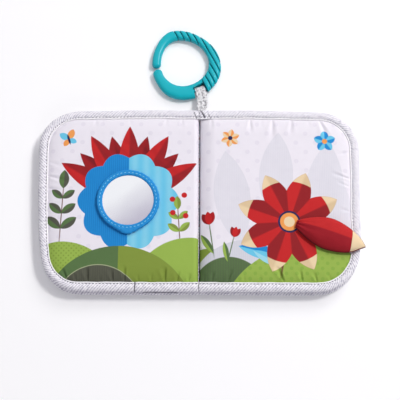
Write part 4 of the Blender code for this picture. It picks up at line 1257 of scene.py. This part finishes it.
def flap():
    points = flap_points()
    edge = int(round(FLAP_TIP_START / FLAP_LENGTH * (FLAP_STATIONS - 1)))
    faces = tube_faces(edge + 1, FLAP_SIDES)
    body = piece("flap_cloth", points[: (edge + 1) * FLAP_SIDES], faces, RED_CLOTH, "flap")
    # The under side is red to its end
    faces = tube_faces(FLAP_STATIONS - edge, FLAP_SIDES)
    under = [int(min(face) % FLAP_SIDES >= FLAP_SIDES // 2) for face in faces[:-2]] + [0, 0]
    points, looks = points[edge * FLAP_SIDES :], [CREAM_CLOTH, RED_CLOTH]
    tip = piece("flap_tip_cloth", points, faces, looks, "flap", face_looks=under)
    stand_for(body, "red_cloth", "flap_top_fabric", "flap_under_fabric")
    stand_for(tip, "cream_cloth", "flap_tip")


def flap_seam():
    """The sewn seam along the flap's edges, where its two cloths meet. The lower one is thick and
    dark red, and also stands for the shade under the flap's lower edge: painted shade.
    """
    rows = np.array(flap_points()).reshape(FLAP_STATIONS, FLAP_SIDES, 3)[2:]
    turn = math.tau * np.arange(6)[:, None] / 6
    tubes = []
    # The lower seam is thick and dark: partly a real seam, partly painted shade under the flap's
    # edge
    for k, radius, drop in ((0, 0.25, 0.1), (FLAP_SIDES // 2, 0.75, 0.55)):
        line = rows[:, k] - (0.0, 0.0, drop * MM)
        across = np.cross(np.gradient(line, axis=0), (0.0, 0.0, 1.0))
        across /= np.linalg.norm(across, axis=1)[:, None]
        ring = across[:, None] * np.cos(turn) + np.array((0, 0, 1.0)) * np.sin(turn)
        tubes.append(line[:, None] + radius * MM * ring)
    bundle("flap_seam", tubes, RED_THREAD, "flap")


def root_stitches():
    """The dark tack that holds the flap's gathered root."""
    low = 1.2 * MM - (FLAP_ROOT.z - PAGE_TOP)
    stitches = [
        (flap_place(-1.6 * MM, b, low), flap_place(1.8 * MM, b * 0.8, low + 0.8 * MM))
        for b in (i * 1.5 * MM for i in range(-2, 3))
    ]
    thread_piece("flap_root_stitches", stitches, 0.42 * MM, RED_THREAD, "right_page")


flap()
flap_seam()
root_stitches()


# Ring

RING_MOUTH, RING_MOUTH_ANGLE = 1.9 * MM, 190.6
MOUTH_RADIUS_SHARE = 1.15
RING_FULLNESS = 0.8
RING_STATIONS, RING_SIDES = 760, 88
# Its bore and its outer side by angles in degrees, as shares of the bore's mean radius
RING_INNER_SHARES = (
    (-168.0, 0.98), (-150.0, 1.00), (-120.0, 1.00), (-95.0, 0.97), (-70.0, 0.93),
    (-45.0, 0.92), (-20.0, 0.95), (10.0, 0.97), (40.0, 0.98), (65.0, 1.02), (90.0, 1.08),
    (115.0, 1.14), (135.0, 1.10), (150.0, 1.04), (170.0, 0.99), (190.0, 0.98),
)
RING_OUTER_SHARES = (
    (-168.0, 1.36), (-155.0, 1.39), (-140.0, 1.43), (-120.0, 1.53), (-100.0, 1.56),
    (-80.0, 1.54), (-55.0, 1.53), (-35.0, 1.52), (-8.0, 1.49), (15.0, 1.43), (40.0, 1.38),
    (63.0, 1.37), (88.0, 1.46), (114.0, 1.58), (128.0, 1.53), (145.0, 1.43), (167.0, 1.36),
    (190.0, 1.34),
)
NOTCH_ANGLE = math.radians(-61.0)
NOTCH_WIDTH, NOTCH_INSET = 11.5 * MM, 2.3 * MM
NOTCH_LEFT_LEAN, NOTCH_RIGHT_LEAN = math.radians(13.0), math.radians(1.5)
BAR_REACH = RING_BORE + NOTCH_INSET + 4.2 * MM
BAR_TURN = math.radians(-12.0)
BAR_RADIUS, BAR_SIDES = 1.6 * MM, 24
RIB_HALF, RIB_DEPTH = 0.62 * MM, 1.0 * MM


def rib_cut(x, y):
    """Depth of the slanting grooves at a place on the ring's upper or lower face."""
    g = (x - RING_X) * math.cos(RIB_ANGLE) + (y - RING_Y) * math.sin(RIB_ANGLE)
    nearest = np.clip(np.round((g - RIB_FIRST) / RIB_STEP), 0, RIB_COUNT - 1)
    off = np.abs(g - RIB_FIRST - nearest * RIB_STEP)
    return RIB_DEPTH * np.clip(1.0 - off / RIB_HALF, 0.0, 1.0) ** 0.7


def ring_points():
    half_mouth = math.degrees(RING_MOUTH / 2 / (RING_BORE * MOUTH_RADIUS_SHARE))
    start = RING_MOUTH_ANGLE - 360.0 + half_mouth
    end = RING_MOUTH_ANGLE - half_mouth
    turn = math.tau * (np.arange(RING_SIDES) + 0.5) / RING_SIDES
    across, up = (swollen(f(turn), RING_FULLNESS) for f in (np.cos, np.sin))
    outward = np.clip(across, 0.0, 1.0) ** 4
    points = []
    for s in range(RING_STATIONS):
        share = s / (RING_STATIONS - 1)
        degrees = start + (end - start) * share
        cos, sin = math.cos(math.radians(degrees)), math.sin(math.radians(degrees))
        inner = RING_BORE * curve(RING_INNER_SHARES, degrees)
        outer = RING_BORE * curve(RING_OUTER_SHARES, degrees)
        from_end = min(share, 1.0 - share) * math.radians(end - start) * RING_BORE
        size = math.sqrt(max(1.0 - (1.0 - min(from_end / (3.2 * MM), 1.0)) ** 2, 0.04))
        radius = (inner + outer) / 2 + (outer - inner) / 2 * across * size
        x, y = RING_X + radius * cos, RING_Y + radius * sin
        cut = rib_cut(x, y)
        height = RING_THICK / 2 * up * size
        height = height - np.copysign(np.minimum(cut * np.abs(up), RIB_DEPTH), up)
        cut = cut * outward * 0.6
        points.append(stacked(x - cut * cos, y - cut * sin, RING_THICK / 2 + height))
    return np.concatenate(points)


def notch_place(out, along, height):
    return (*turned((RING_X, RING_Y), NOTCH_ANGLE, out, along), height)


def ring():
    """The ring, with its notch cut out and the bar put into it."""
    made = piece("ring_plastic", ring_points(), tube_faces(RING_STATIONS, RING_SIDES), RING)
    near, half = RING_BORE + NOTCH_INSET, NOTCH_WIDTH / 2
    corners = [
        notch_place(out, along - (out - near) * math.tan(lean), height)
        for out in (near, 2 * RING_BORE)
        for along, lean in ((-half, NOTCH_LEFT_LEAN), (half, NOTCH_RIGHT_LEAN))
        for height in (-2 * MM, RING_THICK + 2 * MM)
    ]
    cube = [(0, 1, 3, 2), (4, 6, 7, 5), (0, 4, 5, 1), (2, 3, 7, 6), (0, 2, 6, 4), (1, 5, 7, 3)]
    notch = piece("notch_guide", corners, cube, RING)
    notch.data.shade_flat()
    bar_points = []
    for along in (-half - 2 * MM, half + 2 * MM):
        for k in range(BAR_SIDES):
            turn = math.tau * k / BAR_SIDES
            place = turned((BAR_REACH, 0.0), BAR_TURN, BAR_RADIUS * math.cos(turn), along)
            height = RING_THICK / 2 + BAR_RADIUS * math.sin(turn)
            bar_points.append(notch_place(*place, height))
    bar = piece("bar_guide", bar_points, tube_faces(2, BAR_SIDES), RING)
    for guide, kind in ((notch, "DIFFERENCE"), (bar, "UNION")):
        change = made.modifiers.new(guide.name, "BOOLEAN")
        change.operation, change.object = kind, guide
    settle(made)
    for guide in (notch, bar):
        bpy.data.objects.remove(guide, do_unlink=True)
    made.data.set_sharp_from_angle(angle=math.radians(38))
    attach(made, "ring")
    stand_for(made, "teal_plastic", "c_ring")


ring()


# Ribbon

LOOP_ROOT, LOOP_EYE = joint_place("loop_lift"), joint_place("ring_swing")
RIBBON_LENGTH = (LOOP_EYE - LOOP_ROOT).length
RIBBON_THICK = 0.8 * MM
RIBBON_WIDTH, RIBBON_PINCH = 10.0 * MM, 4.2 * MM
RIBBON_PINCH_LENGTH, RIBBON_EYE_LENGTH = 7.5 * MM, 9.0 * MM
RIBBON_GAP = 0.3 * MM
RIBBON_TAIL = 5.0 * MM  # how far its sewn end runs back into the spine
RIBBON_STEPS, RIBBON_EYE_STEPS, RIBBON_COLUMNS = 34, 16, 21


def ribbon_frame(distance):
    """The place, direction, width direction and normal at a distance from the ribbon's root."""
    out_root = Vector((0.4, 0.9, -0.3)).normalized() * RIBBON_LENGTH
    out_eye = Vector((-0.30, 0.94, -0.2)).normalized() * RIBBON_LENGTH
    bar_angle = NOTCH_ANGLE + BAR_TURN
    wide_eye = Vector((-math.sin(bar_angle), math.cos(bar_angle), 0.0))
    t = clamp(distance / RIBBON_LENGTH)
    s2, s3 = t**2, t**3
    place = LOOP_ROOT * (2 * s3 - 3 * s2 + 1) + LOOP_EYE * (3 * s2 - 2 * s3)
    place += out_root * (s3 - 2 * s2 + t) + out_eye * (s3 - s2)
    forward = LOOP_ROOT * (6 * s2 - 6 * t) + LOOP_EYE * (6 * t - 6 * s2)
    forward += out_root * (3 * s2 - 4 * t + 1) + out_eye * (3 * s2 - 2 * t)
    forward = forward.normalized()
    wide = Vector((1.0, 0.0, 0.0)).lerp(wide_eye, t).normalized()
    return place, forward, wide, wide.cross(forward).normalized()


def ribbon_track():
    """The ribbon's way out, round the ring's bar and back: along, and above its middle."""
    near = RIBBON_THICK / 2 + RIBBON_GAP / 2
    eye = BAR_RADIUS + RIBBON_GAP + RIBBON_THICK / 2
    track = []
    for i in range(RIBBON_STEPS):
        distance = -RIBBON_TAIL + (RIBBON_LENGTH + RIBBON_TAIL) * i / RIBBON_STEPS
        part = clamp((distance - RIBBON_LENGTH + RIBBON_EYE_LENGTH) / RIBBON_EYE_LENGTH)
        track.append((distance, near + (eye - near) * smooth(part)))
    back = [(distance, -offset) for distance, offset in reversed(track)]
    for i in range(RIBBON_EYE_STEPS + 1):
        a = math.pi * i / RIBBON_EYE_STEPS
        track.append((RIBBON_LENGTH + eye * math.sin(a), eye * math.cos(a)))
    return track + back


def ribbon():
    track = ribbon_track()
    points, marks, run = [], [], 0.0
    for i, (distance, offset) in enumerate(track):
        before, after = track[max(i - 1, 0)], track[min(i + 1, len(track) - 1)]
        step = Vector((after[0] - before[0], after[1] - before[1])).normalized()
        if i:
            run += math.dist(track[i], track[i - 1])
        part = clamp(distance / RIBBON_PINCH_LENGTH)
        half = (RIBBON_PINCH + (RIBBON_WIDTH - RIBBON_PINCH) * smooth(part)) / 2
        pleat = 0.6 * MM * (1.0 - smooth(part)) + 0.22 * MM
        for j in range(RIBBON_COLUMNS):
            w = 2 * j / (RIBBON_COLUMNS - 1) - 1
            fold = pleat * math.sin(w * 7.5 + distance / (7 * MM))
            fold -= 0.25 * MM * w * w * (1.0 - part)
            along, lift = distance - step.y * fold, offset + step.x * fold
            at = clamp(along, RIBBON_LENGTH)
            place, forward, wide, normal = ribbon_frame(at)
            points.append(place + forward * (along - at) + normal * lift + wide * (w * half))
            marks.append((run, (w + 1) * RIBBON_WIDTH / 2, 0.0))
    faces = grid_faces(len(track), RIBBON_COLUMNS)
    made = piece("ribbon_cloth", points, faces, RIBBON, None, marks)
    thicken(made, RIBBON_THICK * 0.75, 0.0)
    settle(made)
    stand_for(made, "ribbon", "ribbon_loop")
    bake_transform(made)


ribbon()


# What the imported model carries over

for node, look in (
    ("mirror_film", MIRROR),
    ("mirror_backing", WADDING),
    ("flap_root_seam", RED_CLOTH),
    ("flap_filling", WADDING),
    ("flap_crinkle_film", FILM),
    *((leaf + "_padding", WADDING) for leaf in LEAVES),
    *((leaf + "_crinkle_film", FILM) for leaf in LEAVES),
):
    carried = frame["nodes"][node].data
    carried.materials.clear()
    carried.materials.append(look)


# Floor, light and camera

FLOOR_HALF = 9.0
GLOW_START, GLOW_END = (0.45, 0.11), (2.2, 0.75)  # distances from the book, and the floor's glow
SKY_STRENGTH = 0.29
WALL_WAY = (-0.55, 0.83, 0.0)


def floor():
    """Pale floor, which brightens away from the book where the lamps don't reach."""
    corners = [(x * FLOOR_HALF, y * FLOOR_HALF, 0) for x, y in ((-1, -1), (1, -1), (1, 1), (-1, 1))]
    look = Look("floor")
    (near, dim), (far, bright) = GLOW_START, GLOW_END
    glow = look.ray("Camera") * look.ramp(look.length(look.coordinates), near, far, dim, bright)
    inputs = {"Specular_IOR_Level": 0.0, "Emission_Color": WHITE, "Emission_Strength": glow}
    material = look.finish((0.92, 0.92, 0.93, 1.0), 1.0, **inputs)
    made = piece("floor", corners, [(0, 1, 2, 3)], material)


floor()

world = bpy.data.worlds.new("studio")
bpy.context.scene.world = world
world.use_nodes = True
sky = world.node_tree.nodes["Background"]
nodes = Nodes(world.node_tree)
to_camera, glossy = nodes.ray("Camera"), nodes.ray("Glossy")
bright = nodes.highest(nodes.highest(to_camera, glossy), nodes.ray("Transmission"))
nodes.put(sky.inputs["Strength"], nodes.ramp(bright, 0.0, 1.0, SKY_STRENGTH))
# What gloss reflects: a white wall behind the book, and a grey-lilac ceiling
way = nodes.node("TexCoord", out="Generated")
wall = nodes.node("VectorMath", {0: way, 1: WALL_WAY}, "Value", operation="DOT_PRODUCT")
room = nodes.mix(nodes.ramp(wall, 0.12, 0.34), rgb(204, 199, 212), WHITE)
room = nodes.mix(glossy, (0.94, 0.92, 1.0, 1.0), room)
nodes.put(sky.inputs["Color"], nodes.mix(to_camera, room, WHITE))

# Lamps: the share of a level surface's light that each gives, its height and direction in
# degrees, how wide it is, and its colour
LAMP_DISTANCE = 3.0
LAMPS = (
    ("key", 0.40, 54.0, 31.0, 0.6, (1.0, 0.985, 0.965)),
    ("window", 0.17, 38.0, 58.0, 1.3, (1.0, 0.99, 0.985)),
    ("top", 0.10, 62.0, 105.0, 2.4, (0.97, 0.96, 1.0)),
    ("fill", 0.07, 33.0, -80.0, 1.6, (0.95, 0.94, 1.0)),
)

for name, share, elevation, azimuth, size, colour in LAMPS:
    high, turn = math.radians(elevation), math.radians(azimuth)
    way = Vector((math.cos(high) * math.cos(turn), math.cos(high) * math.sin(turn), math.sin(high)))
    light = bpy.data.lights.new(name, "AREA")
    light.shape, light.size, light.color = "DISK", size, colour
    light.energy = share * math.pi**2 * LAMP_DISTANCE**2 / math.sin(high)
    lamp = bpy.data.objects.new(name, light)
    bpy.context.scene.collection.objects.link(lamp)
    lamp.location = way * LAMP_DISTANCE
    lamp.rotation_mode = "QUATERNION"
    lamp.rotation_quaternion = (-way).to_track_quat("-Z", "Y")
    lamp.visible_glossy = name == "key"  # only this one leaves a highlight

CAMERA_DISTANCE = 0.864
CAMERA_ELEVATION = math.radians(74.0)
CAMERA_TARGET = Vector((0.0013, 0.0035, 0.0))
CAMERA_ROLL = math.radians(0.2)
FIELD_OF_VIEW = math.radians(25.0)

camera = bpy.data.objects.new("camera", bpy.data.cameras.new("camera"))
bpy.context.scene.collection.objects.link(camera)
back = Vector((0.0, -math.cos(CAMERA_ELEVATION), math.sin(CAMERA_ELEVATION)))
camera.location = CAMERA_TARGET + back * CAMERA_DISTANCE
camera.rotation_euler = (math.pi / 2 - CAMERA_ELEVATION, 0.0, 0.0)
camera.rotation_euler.rotate_axis("Z", CAMERA_ROLL)
camera.data.sensor_width = 36.0
camera.data.lens = 18.0 / math.tan(FIELD_OF_VIEW / 2)
camera.data.clip_start = 0.05
bpy.context.scene.camera = camera
bpy.context.scene.view_settings.view_transform = "Standard"
